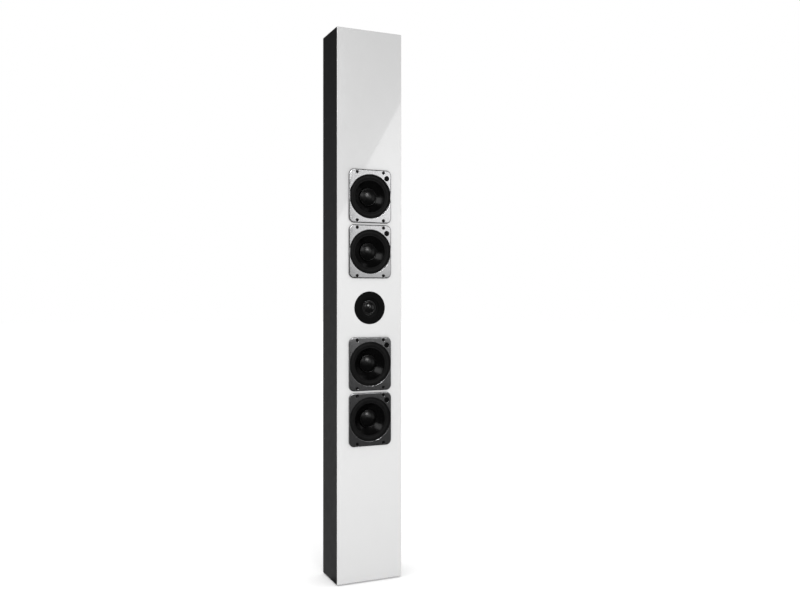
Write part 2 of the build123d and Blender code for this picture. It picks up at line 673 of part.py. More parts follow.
def board_fixings():
    """Spacer sleeves behind the board and the screws through them."""
    sleeve = tube(SCREW_SHANK_R + SCREW_PLAY, STANDOFF_R, 0, STANDOFF_T)
    bolt = screw(SCREW_HEAD_R, BOARD_SCREW_HEAD_T, SCREW_SHANK_R, BOARD_SCREW_LENGTH)
    bolt = Rot(180, 0, 0) * Pos(0, 0, BOARD_T + BOARD_SCREW_HEAD_T) * bolt
    face_y = INSIDE_BACK_Y - STANDOFF_T
    pieces = []
    for x, z in standoff_places():
        pieces += [on_back(sleeve, x, face_y, z), on_back(bolt, x, face_y, z)]
    return pieces


def on_board(shape, x, z):
    """Set a component, drawn with local +Z away from the board, on the board's front."""
    return Pos(x, INSIDE_BACK_Y - STANDOFF_T - BOARD_T, z) * Rot(90, 0, 0) * shape


def crossover_coils():
    """Air-core inductors, wound flat on the board."""
    return [on_board(tube(inner, outer, 0, height), x, z) for inner, outer, height, x, z in INDUCTORS]


def crossover_capacitors():
    bodies = []
    for radius, length, x, z in CAPACITORS:
        can = fillet(tube(0, radius, -length / 2, length / 2).edges(), CAPACITOR_EDGE)
        bodies.append(on_board(Pos(0, 0, radius) * Rot(0, 90, 0) * can, x, z))
    return bodies


def crossover_resistors():
    body = Box(*RESISTOR_SIZE, align=(Align.CENTER, Align.CENTER, Align.MIN))
    body = fillet(body.edges(), RESISTOR_EDGE)
    return [on_board(Rot(0, 0, turn) * body, x, z) for x, z, turn in RESISTORS]


# Wires

def wire(points):
    """A round lead along straight runs joined by tangent arcs as large as the runs allow."""
    radii = []
    for before, corner, after in zip(points, points[1:], points[2:]):
        runs = [Vector(*corner) - Vector(*before), Vector(*after) - Vector(*corner)]
        turn = math.radians(runs[0].get_angle(runs[1]))
        radii.append(WIRE_BEND * min(run.length for run in runs) / math.tan(turn / 2))
    path = FilletPolyline(*points, radius=radii)
    return sweep(Plane(origin=path @ 0, z_dir=path % 0) * Circle(WIRE_R), path=path)


def internal_wires():
    """One lead from the board to each driver, and two from the posts to the board."""
    board_top = BOARD_LOW_Z + BOARD_H
    board_y = INSIDE_BACK_Y - STANDOFF_T - BOARD_T
    riser_y = board_y - WIRE_BEHIND
    leads = []
    lowest_first = sorted(WOOFER_ZS + (TWEETER_Z,))
    for order, height in enumerate(lowest_first):
        start_x = WIRE_START_X + WIRE_START_PITCH * order
        riser_x = WIRE_FIRST_X + WIRE_PITCH * order
        reach = TWEETER_HOLE_R - 2 if height == TWEETER_Z else NECK_R + 2 * WIRE_R
        end_y = FRONT_Y - SEAT_Z + (2 if height == TWEETER_Z else -6)
        leads.append(wire([
            (start_x, board_y - 2, board_top - 6), (start_x + 4, board_y - 12, board_top + 4),
            (riser_x, riser_y, board_top + 24), (riser_x, riser_y + 1, height - 24),
            (riser_x - 4, riser_y - 4, height - 4), (reach, end_y, height),
        ]))
    for x in POST_XS.values():
        tail_y = CUP_FLOOR_Y - STUD_TAIL - 1
        leads.append(wire([
            (x, tail_y, CUP_Z), (x, tail_y - 8, CUP_Z + 10), (x * 1.2, tail_y - 2, BOARD_LOW_Z - 14),
            (x * 0.6, board_y - 2, BOARD_LOW_Z + 2),
        ]))
    return leads


def cabinet_parts():
    save("front_fascia", front_fascia())
    save("inner_baffle", inner_baffle())
    save("left_side_panel", side_panel(-1))
    save("right_side_panel", side_panel(1))
    save("top_panel", end_panel(TOP_Z - END_T))
    save("bottom_panel", end_panel(BASE_Z))
    save("back_panel", back_panel())
    save("window_braces", [window_brace(height) for height in BRACE_HEIGHTS])
    save("damping_pads", [damping_pad(low_z, high_z) for low_z, high_z in PAD_RANGES])
    save("rubber_feet", rubber_feet())


def woofer_parts():
    makers = {
        "frame": woofer_frame, "surround": surround, "cone": woofer_cone, "dust_cap": dust_cap,
        "voice_coil": voice_coil, "spider": spider,
    }
    for kind, maker in makers.items():
        piece = maker()
        for number, height in enumerate(WOOFER_ZS, start=1):
            save(f"woofer_{number}_{kind}", on_front(piece, height))
    groups = {
        "woofer_top_plates": woofer_plate, "woofer_magnets": woofer_magnet, "woofer_yokes": woofer_yoke,
    }
    for name, maker in groups.items():
        piece = maker()
        save(name, [on_front(piece, height) for height in WOOFER_ZS])
    save("woofer_screws", woofer_screws())
    save("frame_badges", frame_badges())


def tweeter_parts():
    makers = {
        "tweeter_faceplate": tweeter_faceplate, "tweeter_dome": tweeter_dome,
        "tweeter_surround": tweeter_surround, "tweeter_coil": tweeter_coil,
        "tweeter_magnet": tweeter_magnet,
    }
    for name, maker in makers.items():
        save(name, on_front(maker(), TWEETER_Z))
    save("tweeter_steel", [on_front(piece, TWEETER_Z) for piece in tweeter_steel()])
    save("tweeter_screws", tweeter_screws())


def terminal_parts():
    save("terminal_cup", terminal_cup())
    save("terminal_cup_screws", cup_screws())
    save("post_studs", [on_back(post_stud(), x, CUP_FLOOR_Y, CUP_Z) for x in POST_XS.values()])
    nuts = [on_back(piece, x, CUP_FLOOR_Y, CUP_Z) for x in POST_XS.values() for piece in post_nut()]
    save("post_nuts", nuts)
    for colour, x in POST_XS.items():
        save(f"post_washer_{colour}", on_back(post_washer(), x, CUP_FLOOR_Y, CUP_Z))
        save(f"post_cap_{colour}", on_back(post_cap(), x, CUP_FLOOR_Y, CUP_Z))


def crossover_parts():
    save("crossover_board", crossover_board())
    save("board_fixings", board_fixings())
    save("crossover_coils", crossover_coils())
    save("crossover_capacitors", crossover_capacitors())
    save("crossover_resistors", crossover_resistors())
    save("internal_wires", internal_wires())


os.makedirs("parts", exist_ok=True)
cabinet_parts()
woofer_parts()
tweeter_parts()
terminal_parts()
crossover_parts()
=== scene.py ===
from collections import namedtuple
import json
import math

import bmesh
import bpy
from bpy.props import FloatProperty, FloatVectorProperty, IntProperty, PointerProperty
from mathutils import Matrix, Vector


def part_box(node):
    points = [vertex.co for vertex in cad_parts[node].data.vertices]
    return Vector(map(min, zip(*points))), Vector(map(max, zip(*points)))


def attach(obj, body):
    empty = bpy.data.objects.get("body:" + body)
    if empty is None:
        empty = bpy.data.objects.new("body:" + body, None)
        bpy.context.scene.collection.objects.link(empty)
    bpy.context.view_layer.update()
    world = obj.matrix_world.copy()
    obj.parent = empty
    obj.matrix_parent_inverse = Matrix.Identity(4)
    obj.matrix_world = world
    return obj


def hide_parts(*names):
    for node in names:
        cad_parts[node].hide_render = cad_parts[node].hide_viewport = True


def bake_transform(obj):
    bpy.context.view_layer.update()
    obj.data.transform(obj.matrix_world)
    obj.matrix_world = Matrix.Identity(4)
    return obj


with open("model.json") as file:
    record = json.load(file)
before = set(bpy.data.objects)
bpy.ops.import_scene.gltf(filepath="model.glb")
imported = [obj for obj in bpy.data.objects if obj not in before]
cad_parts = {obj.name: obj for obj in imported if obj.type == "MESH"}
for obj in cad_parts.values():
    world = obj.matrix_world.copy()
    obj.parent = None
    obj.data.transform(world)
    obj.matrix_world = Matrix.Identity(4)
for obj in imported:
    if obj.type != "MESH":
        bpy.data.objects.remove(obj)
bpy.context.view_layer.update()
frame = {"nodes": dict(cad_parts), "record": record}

bl_info = {
    "name": "Slim Floorstanding Loudspeaker",
    "version": (1, 0, 0),
    "blender": (4, 5, 0),
    "location": "3D View > Sidebar > Speaker",
    "description": "Builds the finished cabinet, drivers and terminals of a slim column loudspeaker",
    "category": "Object",
}

MM = 0.001
WOOFERS = (1, 2, 3, 4)
POSTS = ("red", "black")
CABINET = "cabinet"
NEAR = 1e-6

# Places read from the frame
fascia_low, fascia_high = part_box("front_fascia")
back_low, back_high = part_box("back_panel")
plate_low, plate_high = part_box("tweeter_faceplate")
cup_low, cup_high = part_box("terminal_cup")
FRONT_Y = fascia_low.y
BACK_Y = back_high.y
HALF_W = fascia_high.x
BASE_Z = fascia_low.z
TOP_Z = fascia_high.z
CUP_FLANGE_T = cup_high.y - BACK_Y


def middle(node):
    """Centre of a CAD node's box."""
    low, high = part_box(node)
    return (low + high) / 2


def woofer_centre(number):
    """Point on a woofer's axis, in the plane of the front face."""
    place = middle(f"woofer_{number}_surround")
    return Vector((place.x, FRONT_Y, place.z))


TWEETER_CENTRE = Vector((0, FRONT_Y, middle("tweeter_faceplate").z))
CUP_CENTRE = Vector((0, BACK_Y, middle("terminal_cup").z))


# Settings a user would change

def length(name, description, value):
    """A size in metres, given in millimetres."""
    return FloatProperty(
        name=name, description=description, default=value * MM, min=0, unit="LENGTH", precision=5
    )


def glow_setting(name, description, value):
    """The brightness of a panel that glossy pieces reflect."""
    return FloatProperty(name=name, description=description, default=value, min=0)


def colour(name, description, value):
    """A base colour of red, green and blue."""
    return FloatVectorProperty(
        name=name, description=description, default=value, size=3, subtype="COLOR", min=0, max=1
    )


class SpeakerCabinetSettings(bpy.types.PropertyGroup):
    fascia_colour: colour("Fascia", "Lacquer of the front panel", (0.545, 0.545, 0.545))
    side_colour: colour("Sides", "Satin film on the sides, top and back", (0.013, 0.013, 0.0135))
    fascia_edge: length("Fascia edge", "Rounding of the front panel's edge", 0.8)
    board_edge: length("Board edge", "Rounding of the other boards' edges", 0.5)
    rear_edge: length("Rear edge", "Rounding of the two long rear edges", 1.5)


class SpeakerWooferSettings(bpy.types.PropertyGroup):
    frame_colour: colour("Frame", "Satin metal of the driver frames", (0.40, 0.40, 0.405))
    rubber_colour: colour("Surround", "Rubber of the surrounds", (0.0045, 0.0045, 0.0045))
    cone_colour: colour("Cone", "Gloss coat of the cones and dust caps", (0.0008, 0.0008, 0.0008))
    frame_corner: length("Frame corner", "Corner radius of the frame", 12.5)
    frame_edge: length("Frame edge", "Rounding of the frame's front edge", 2.2)
    mouth: length("Mouth", "Radius of the frame's opening", 50.0)
    ledge: length("Ledge", "Height of the surround's shelf over the fascia", 1.2)
    skirt: length("Skirt", "Radius of the chassis behind the frame", 48.0)
    neck: length("Neck", "Radius of the chassis around the spider", 36.0)
    seat: length("Seat", "Depth of the motor's seat behind the fascia", 31.0)
    screw_x: length("Screw across", "Distance of a screw from the axis, across", 32.0)
    screw_z: length("Screw up", "Distance of a screw from the axis, upwards", 54.5)
    screw_head: length("Screw head", "Radius of a screw's head", 3.4)
    badge_x: length("Badge across", "Distance of the blank badge from the axis, across", 40.0)
    badge_z: length("Badge up", "Distance of the blank badge from the axis, upwards", 42.0)
    badge: length("Badge", "Radius of the blank badge", 6.0)
    segments: IntProperty(
        name="Segments", description="Segments round each turned piece", default=144, min=24
    )


class SpeakerTweeterSettings(bpy.types.PropertyGroup):
    plate_colour: colour("Faceplate", "Moulded plastic of the faceplate", (0.0018, 0.0018, 0.0018))
    dome_colour: colour("Dome", "Coated silk of the dome", (0.0025, 0.0025, 0.0025))
    dish: length("Dish", "Radius where the faceplate's dish begins", 23.0)
    throat: length("Throat", "Radius of the faceplate's throat", 16.4)
    dome: length("Dome", "Radius of the dome", 12.4)
    screw_circle: length("Screw circle", "Radius of the circle that the screws stand on", 30.5)
    screw_head: length("Screw head", "Radius of a screw's head", 2.2)


class SpeakerTerminalSettings(bpy.types.PropertyGroup):
    cup_colour: colour("Cup", "Moulded plastic of the terminal cup", (0.014, 0.014, 0.014))
    red_colour: colour("Red post", "Plastic of the positive post", (0.42, 0.012, 0.012))
    black_colour: colour("Black post", "Plastic of the negative post", (0.010, 0.010, 0.010))
    grip: length("Grip", "Radius of a post's cap", 7.0)
    flutes: IntProperty(name="Flutes", description="Grooves round a post's cap", default=14, min=3)


class SpeakerStageSettings(bpy.types.PropertyGroup):
    camera_place: FloatVectorProperty(
        name="Camera", description="Where the camera stands", default=(-0.705, -1.8175, 0.6555), size=3,
        subtype="TRANSLATION", unit="LENGTH",
    )
    camera_turn: FloatProperty(
        name="Turn", description="How far the camera looks to the right of straight ahead",
        default=math.radians(23.8), subtype="ANGLE",
    )
    lens: FloatProperty(name="Lens", description="Focal length in millimetres", default=37.67, min=1)
    shift: FloatProperty(name="Shift", description="Upward shift of the view", default=-0.0081)
    world_light: FloatProperty(name="World", description="Strength of the room's light", default=1.0, min=0)
    body_light: FloatProperty(
        name="Body light", description="Soft light at mid height", default=4.6, min=0, unit="POWER"
    )
    panel_glow: glow_setting("Panel glow", "Brightness of the large light panel", 2.35)
    spot_glow: glow_setting("Spot glow", "Brightness of the small light panel", 16.0)
    side_glow: glow_setting("Side glow", "Brightness of the tall panel on the left", 2.0)
    fill_glow: glow_setting("Fill glow", "Brightness of the panel on the right", 0.8)
    rear_glow: glow_setting("Rear glow", "Brightness of the panel behind", 1.2)
    tent_glow: glow_setting("Tent glow", "Brightness of the dark tent", 0.06)


# Outlines, drawn across and up from a piece's middle

LEAST_CORNER = 0.01 * MM


def circle_outline(radius, steps=48, across=0.0, up=0.0):
    turns = [math.tau * step / steps for step in range(steps)]
    return [(across + radius * math.cos(turn), up + radius * math.sin(turn)) for turn in turns]


def rounded_outline(half_w, half_h, corner, steps=8):
    """Rectangle with round corners, anticlockwise from its right side."""
    corner = min(corner, half_w, half_h)
    corners = ((1, 1, 0), (-1, 1, 90), (-1, -1, 180), (1, -1, 270))
    points = []
    for side_x, side_z, start in corners:
        for step in range(steps + 1):
            turn = math.radians(start + 90 * step / steps)
            points.append((
                side_x * (half_w - corner) + corner * math.cos(turn),
                side_z * (half_h - corner) + corner * math.sin(turn),
            ))
    return points


class Contour:
    """One closed edge of a plate: its outline for any inset, the rounding of its edge, and its floor."""

    def __init__(self, outline, edge, floor=None):
        self.outline = outline
        self.edge = edge
        self.floor = floor


def outer_rectangle(half_w, half_h, corner, edge, steps=8):
    def outline(inset):
        return rounded_outline(half_w - inset, half_h - inset, max(corner - inset, LEAST_CORNER), steps)
    return Contour(outline, edge)


def outer_circle(radius, edge, steps):
    return Contour(lambda inset: circle_outline(radius - inset, steps), edge)


def round_hole(radius, edge, steps=48, across=0.0, up=0.0, floor=None):
    return Contour(lambda inset: circle_outline(radius + inset, steps, across, up), edge, floor)


def rectangle_hole(half_w, half_h, corner, edge, steps=6, up=0.0, grow=True):
    """A rectangular hole, whose corner radius grows with the inset or stays."""
    def outline(inset):
        radius = corner + inset if grow else corner
        points = rounded_outline(half_w + inset, half_h + inset, radius, steps)
        return [(across, height + up) for across, height in points]
    return Contour(outline, edge)


def four_corners(across, up):
    """The four places at a distance across and up from the middle."""
    return [(side_x * across, side_z * up) for side_x in (-1, 1) for side_z in (-1, 1)]


def four_on_circle(radius):
    """Four places on the diagonals of a circle."""
    turns = [math.radians(turn) for turn in (45, 135, 225, 315)]
    return [(radius * math.cos(turn), radius * math.sin(turn)) for turn in turns]


# Places: from across, up and outward to a point in the frame

def front_place(centre):
    """Outward is towards the listener."""
    return lambda across, up, out: Vector((centre.x + across, centre.y - out, centre.z + up))


def back_place(centre):
    """Outward is away from the back."""
    return lambda across, up, out: Vector((centre.x - across, centre.y + out, centre.z + up))


def floor_place(centre):
    """Outward is up."""
    return lambda across, up, out: Vector((centre.x + across, centre.y + up, centre.z + out))


# Mesh building

EDGE_STEPS = 5


def bridge(bm, first, second):
    """Faces between two rings of the same number of points."""
    count = len(first)
    for step in range(count):
        after = (step + 1) % count
        bm.faces.new((first[step], first[after], second[after], second[step]))


def ring_edges(bm, ring):
    edges = []
    for step, vert in enumerate(ring):
        pair = (vert, ring[(step + 1) % len(ring)])
        edges.append(bm.edges.get(pair) or bm.edges.new(pair))
    return edges


def contour_rings(bm, contour, low, high, place):
    """The wall of one contour, from its lowest ring to the ring at the plate's face."""
    bottom = low if contour.floor is None else contour.floor
    levels = [(0.0, bottom), (0.0, high - contour.edge)]
    for step in range(1, EDGE_STEPS + 1):
        turn = math.pi / 2 * step / EDGE_STEPS
        levels.append((contour.edge * (1 - math.cos(turn)), high - contour.edge * (1 - math.sin(turn))))
    rings = []
    for inset, out in levels:
        rings.append([bm.verts.new(place(across, up, out)) for across, up in contour.outline(inset)])
    for first, second in zip(rings, rings[1:]):
        bridge(bm, first, second)
    return rings[0], rings[-1]


def add_plate(bm, contours, low, high, place):
    """A flat plate with rounded front edges: the first contour is its outside, the others are holes."""
    face_edges, rear_edges = [], []
    for contour in contours:
        bottom, top = contour_rings(bm, contour, low, high, place)
        face_edges += ring_edges(bm, top)
        if contour.floor is None:
            rear_edges += ring_edges(bm, bottom)
        else:
            bm.faces.new(bottom)
    bmesh.ops.triangle_fill(bm, use_beauty=True, edges=face_edges)
    bmesh.ops.triangle_fill(bm, use_beauty=True, edges=rear_edges)


def softened(points, steps=5):
    """A profile whose corners are rounded by each point's third number, where it has one."""
    result = []
    count = len(points)
    for index, point in enumerate(points):
        here = Vector(point[:2])
        radius = point[2] if len(point) > 2 else 0
        if not radius:
            result.append(here)
            continue
        before = (Vector(points[index - 1][:2]) - here).normalized()
        after = (Vector(points[(index + 1) % count][:2]) - here).normalized()
        half = before.angle(after) / 2
        reach = radius / math.tan(half)
        centre = here + (before + after).normalized() * radius / math.sin(half)
        start, end = here + before * reach - centre, here + after * reach - centre
        first = math.atan2(start.y, start.x)
        sweep = (math.atan2(end.y, end.x) - first + math.pi) % math.tau - math.pi
        for step in range(steps + 1):
            turn = first + sweep * step / steps
            result.append(centre + radius * Vector((math.cos(turn), math.sin(turn))))
    return result


def arc_points(start, end, rise, steps):
    """Points along a shallow arc between two profile points, bulging by rise to the left of its way."""
    start, end = Vector(start), Vector(end)
    chord = end - start
    left = Vector((-chord.y, chord.x)).normalized()
    if abs(rise) < 1e-9:
        return [start.lerp(end, step / steps) for step in range(steps + 1)]
    half = chord.length / 2
    radius = (half * half + rise * rise) / (2 * rise)
    centre = (start + end) / 2 + left * (rise - radius)
    spread = math.asin(max(-1.0, min(1.0, half / radius)))
    middle_way = (left if rise > 0 else -left)
    points = []
    for step in range(steps + 1):
        turn = spread * (1 - 2 * step / steps)
        points.append(centre + Matrix.Rotation(turn, 2) @ middle_way * abs(radius))
    return points


def add_turned(bm, profile, place, segments, closed=True, flute=None):
    """A profile of radius and outward distance turned round the axis, with its own map coordinates."""
    layer = bm.loops.layers.uv.verify()
    travelled = [0.0]
    for first, second in zip(profile, profile[1:]):
        travelled.append(travelled[-1] + (Vector(second) - Vector(first)).length)
    rings = []
    for radius, out in profile:
        if radius < 1e-7:
            rings.append([bm.verts.new(place(0, 0, out))])
            continue
        ring = []
        for step in range(segments):
            turn = math.tau * step / segments
            reach = radius - (flute(turn, out) if flute else 0)
            ring.append(bm.verts.new(place(reach * math.cos(turn), reach * math.sin(turn), out)))
        rings.append(ring)
    pairs = list(zip(range(len(rings)), range(1, len(rings))))
    if closed:
        pairs.append((len(rings) - 1, 0))
    for low, high in pairs:
        first, second = rings[low], rings[high]
        if len(first) == 1 and len(second) == 1:
            continue
        for step in range(segments):
            after = (step + 1) % segments
            corners = [
                (first, step, 0, low), (first, after, 1, low),
                (second, after, 1, high), (second, step, 0, high),
            ]
            verts, marks = [], []
            for ring, index, ahead, level in corners:
                vert = ring[0] if len(ring) == 1 else ring[index]
                if vert not in verts:
                    verts.append(vert)
                    marks.append(((step + ahead) / segments, travelled[level]))
            face = bm.faces.new(verts)
            for loop, mark in zip(face.loops, marks):
                loop[layer].uv = mark


def add_box(bm, low, high):
    """A plain box between two corners."""
    corners = bmesh.ops.create_cube(bm, size=1.0)["verts"]
    size, centre = Vector(high) - Vector(low), (Vector(low) + Vector(high)) / 2
    for vert in corners:
        vert.co = Vector(vert.co[axis] * size[axis] + centre[axis] for axis in range(3))
    return corners


def bevel_edges(bm, edges, radius, segments=3):
    bmesh.ops.bevel(
        bm, geom=list(edges), offset=radius, segments=segments, profile=0.5, affect="EDGES",
        clamp_overlap=True,
    )


Screw = namedtuple("Screw", "head height hexagon depth shank length")
SCREW_STEPS = 48


def add_socket_screw(bm, place, spot, top, screw):
    """Socket-head screw: a rounded head with a six-sided recess, and its shank."""
    edge = screw.height / 4
    seat = top - screw.height
    turns = [math.tau * step / SCREW_STEPS for step in range(SCREW_STEPS)]

    def ring(out, radius_at):
        points = []
        for turn in turns:
            radius = radius_at(turn)
            points.append(place(spot[0] + radius * math.cos(turn), spot[1] + radius * math.sin(turn), out))
        return [bm.verts.new(point) for point in points]

    def round_ring(radius, out):
        return ring(out, lambda turn: radius)

    def hexagon_ring(radius, out):
        def radius_at(turn):
            from_flat = (turn % (math.pi / 3)) - math.pi / 6
            return radius * math.cos(math.pi / 6) / math.cos(from_flat)
        return ring(out, radius_at)

    rings = [
        round_ring(screw.shank, top - screw.length),
        round_ring(screw.shank, seat),
        round_ring(screw.head, seat),
    ]
    for step in range(EDGE_STEPS + 1):
        turn = math.pi / 2 * step / EDGE_STEPS
        rings.append(round_ring(screw.head - edge * (1 - math.cos(turn)), top - edge * (1 - math.sin(turn))))
    rings.append(hexagon_ring(screw.hexagon + edge / 3, top))
    rings.append(hexagon_ring(screw.hexagon, top - edge / 3))
    rings.append(hexagon_ring(screw.hexagon, top - screw.depth))
    for first, second in zip(rings, rings[1:]):
        bridge(bm, first, second)
    bm.faces.new(rings[0])
    bm.faces.new(rings[-1])


def finish_piece(bm, name, body, material_slot, nodes, sharp=38.0, keep_flat=True):
    """Turn the built mesh into a piece that rides on a body and stands for its CAD nodes."""
    bmesh.ops.recalc_face_normals(bm, faces=bm.faces)
    mesh = bpy.data.meshes.new(name)
    bm.to_mesh(mesh)
    bm.free()
    mesh.shade_smooth()
    mesh.set_sharp_from_angle(angle=math.radians(sharp))
    mesh.materials.append(finish_for(material_slot))
    piece = bpy.data.objects.new(name, mesh)
    bpy.context.scene.collection.objects.link(piece)
    if keep_flat:
        weights = piece.modifiers.new("flat faces", "WEIGHTED_NORMAL")
        weights.keep_sharp = True
        weights.weight = 100
    if nodes:
        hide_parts(*nodes)
    if body:
        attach(piece, body)
    return piece


def roll_with(piece):
    """A ring between the cabinet and a moving cone: its place is baked into its mesh, and it rides on no
    body.
    """
    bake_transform(piece)


# Materials

class Finish:
    """A node material with a few short ways to add detail to its shader."""

    def __init__(self, name, base, roughness, metallic=0.0, specular=0.5):
        self.material = bpy.data.materials.new(name)
        self.material.use_nodes = True
        self.nodes = self.material.node_tree.nodes
        self.links = self.material.node_tree.links
        self.shader = self.nodes["Principled BSDF"]
        self.base = tuple(base)
        self.shader.inputs["Base Color"].default_value = (*self.base, 1)
        self.shader.inputs["Roughness"].default_value = roughness
        self.shader.inputs["Metallic"].default_value = metallic
        self.shader.inputs["Specular IOR Level"].default_value = specular
        self.place = self.nodes.new("ShaderNodeTexCoord").outputs["Object"]
        self.rough = roughness
        self.height = None

    def set(self, **sockets):
        """Set sockets of the shader by name, with underscores for spaces."""
        for name, value in sockets.items():
            self.shader.inputs[name.replace("_", " ").title()].default_value = value
        return self

    def noise(self, scale, detail=3.0, roughness=0.5, stretch=None, place=None):
        source = place or self.place
        if stretch:
            mapping = self.nodes.new("ShaderNodeMapping")
            mapping.inputs["Scale"].default_value = stretch
            self.links.new(source, mapping.inputs["Vector"])
            source = mapping.outputs["Vector"]
        texture = self.nodes.new("ShaderNodeTexNoise")
        texture.inputs["Scale"].default_value = scale
        texture.inputs["Detail"].default_value = detail
        texture.inputs["Roughness"].default_value = roughness
        self.links.new(source, texture.inputs["Vector"])
        return texture.outputs["Fac"]

    def cells(self, scale, smooth=0.6):
        texture = self.nodes.new("ShaderNodeTexVoronoi")
        texture.feature = "SMOOTH_F1"
        texture.inputs["Scale"].default_value = scale
        texture.inputs["Smoothness"].default_value = smooth
        self.links.new(self.place, texture.inputs["Vector"])
        return texture.outputs["Distance"]

    def bands(self, scale, direction, place=None, distortion=0.0):
        texture = self.nodes.new("ShaderNodeTexWave")
        texture.bands_direction = direction
        texture.inputs["Scale"].default_value = scale
        texture.inputs["Distortion"].default_value = distortion
        self.links.new(place or self.place, texture.inputs["Vector"])
        return texture.outputs["Fac"]

    def map_place(self):
        return self.nodes.new("ShaderNodeTexCoord").outputs["UV"]

    def combine(self, operation, first, second):
        node = self.nodes.new("ShaderNodeMath")
        node.operation = operation
        for socket, value in zip(node.inputs, (first, second)):
            if isinstance(value, (int, float)):
                socket.default_value = value
            else:
                self.links.new(value, socket)
        return node.outputs[0]

    def spread(self, source, low, high):
        """A map from the middle of a texture's range to a range of values."""
        node = self.nodes.new("ShaderNodeMapRange")
        for socket, value in zip(("From Min", "From Max", "To Min", "To Max"), (0.3, 0.7, low, high)):
            node.inputs[socket].default_value = value
        self.links.new(source, node.inputs["Value"])
        return node.outputs["Result"]

    def vary_roughness(self, source, amount):
        """Spread the roughness by an amount either way."""
        rough = self.spread(source, max(0.0, self.rough - amount), self.rough + amount)
        self.links.new(rough, self.shader.inputs["Roughness"])
        return self

    def vary_colour(self, source, amount, other=None):
        """Blend between a darker and a lighter shade, or towards another colour."""
        mix = self.nodes.new("ShaderNodeMix")
        mix.data_type = "RGBA"
        darker = other or tuple(value * (1 - amount) for value in self.base)
        lighter = self.base if other else tuple(min(1, value * (1 + amount)) for value in self.base)
        mix.inputs["A"].default_value = (*darker, 1)
        mix.inputs["B"].default_value = (*lighter, 1)
        self.links.new(self.spread(source, 0, 1), mix.inputs["Factor"])
        self.links.new(mix.outputs["Result"], self.shader.inputs["Base Color"])
        return self

    def bump(self, source, depth, strength=1.0):
        """Raise and lower the surface by a depth in metres, over any bump that is there."""
        node = self.nodes.new("ShaderNodeBump")
        node.inputs["Distance"].default_value = depth
        node.inputs["Strength"].default_value = strength
        self.links.new(source, node.inputs["Height"])
        if self.height:
            self.links.new(self.height, node.inputs["Normal"])
        self.height = node.outputs["Normal"]
        self.links.new(self.height, self.shader.inputs["Normal"])
        return self


def lacquer(base):
    """High-gloss lacquer with a faint orange-peel ripple and a little dust in the polish."""
    finish = Finish("fascia lacquer", base, 0.16, specular=0.25)
    finish.set(coat_weight=1.0, coat_roughness=0.03)
    finish.vary_colour(finish.noise(9.0), 0.006)
    finish.vary_roughness(finish.noise(70.0, detail=6), 0.035)
    return finish.bump(finish.noise(420.0, detail=2), 0.000006, 0.35).material


def satin_film(base):
    """Near-black satin film with a fine pebble grain."""
    finish = Finish("cabinet satin", base, 0.46, specular=0.22)
    finish.vary_colour(finish.noise(26.0, detail=5), 0.05)
    finish.vary_roughness(finish.noise(55.0, detail=6), 0.03)
    finish.bump(finish.cells(1500.0), 0.00002, 0.5)
    return finish.bump(finish.noise(14.0, detail=1), 0.0002, 0.15).material


def cast_silver(base):
    """Satin metallic finish of the driver frames: fine sparkle and a faint cast ripple."""
    finish = Finish("frame silver", base, 0.23, metallic=1.0)
    finish.vary_colour(finish.noise(3200.0, detail=2), 0.03)
    finish.vary_roughness(finish.noise(240.0, detail=5), 0.03)
    finish.bump(finish.noise(2600.0, detail=2), 0.0000015, 0.4)
    return finish.bump(finish.noise(90.0, detail=2), 0.00002, 0.2).material


def moulded_rubber(base, name="surround rubber"):
    """Matt-satin rubber with a bloom of dust and fine mould rings."""
    finish = Finish(name, base, 0.58, specular=0.09)
    finish.vary_colour(finish.noise(120.0, detail=6), 0.25)
    finish.vary_roughness(finish.noise(160.0, detail=6), 0.06)
    return finish.bump(finish.noise(1800.0, detail=3), 0.00001, 0.5).material


def gloss_cone(base, name="cone gloss", roughness=0.2, specular=0.3):
    """Black coated cone: a gloss skin over faint radial pressing marks."""
    finish = Finish(name, base, roughness, specular=specular)
    marks = finish.noise(1.0, detail=4, stretch=(90.0, 220.0, 1.0), place=finish.map_place())
    finish.vary_roughness(finish.noise(130.0, detail=6), 0.04)
    finish.vary_colour(finish.noise(300.0, detail=4), 0.25)
    finish.bump(marks, 0.00002, 0.25)
    return finish.bump(finish.noise(900.0, detail=2), 0.000003, 0.4).material


def moulded_plastic(base, name, roughness=0.38, specular=0.4):
    """Moulded plastic with a fine spark-eroded grain."""
    finish = Finish(name, base, roughness, specular=specular)
    finish.vary_colour(finish.noise(60.0, detail=5), 0.12)
    finish.vary_roughness(finish.noise(180.0, detail=5), 0.06)
    return finish.bump(finish.cells(2400.0), 0.00001, 0.55).material


def gloss_plastic(base, name):
    finish = Finish(name, base, 0.16, specular=0.45)
    finish.vary_colour(finish.noise(50.0, detail=4), 0.06)
    finish.vary_roughness(finish.noise(220.0, detail=6), 0.05)
    return finish.bump(finish.noise(700.0, detail=2), 0.000003, 0.4).material


def black_oxide(base=(0.003, 0.003, 0.003)):
    """Blackened steel, a little polished where a key has turned it."""
    finish = Finish("black oxide", base, 0.42, specular=0.1)
    finish.vary_colour(finish.noise(500.0, detail=4), 0.35)
    finish.vary_roughness(finish.noise(700.0, detail=5), 0.10)
    return finish.bump(finish.noise(2200.0, detail=2), 0.000004, 0.4).material


def coated_silk(base):
    """Woven silk under a thin damping coat."""
    finish = Finish("dome silk", base, 0.19, specular=0.5)
    weave = finish.combine("MULTIPLY", finish.bands(1100.0, "X"), finish.bands(1100.0, "Z"))
    finish.vary_colour(finish.noise(400.0, detail=3), 0.2)
    finish.vary_roughness(finish.noise(500.0, detail=4), 0.07)
    return finish.bump(weave, 0.00001, 0.5).material


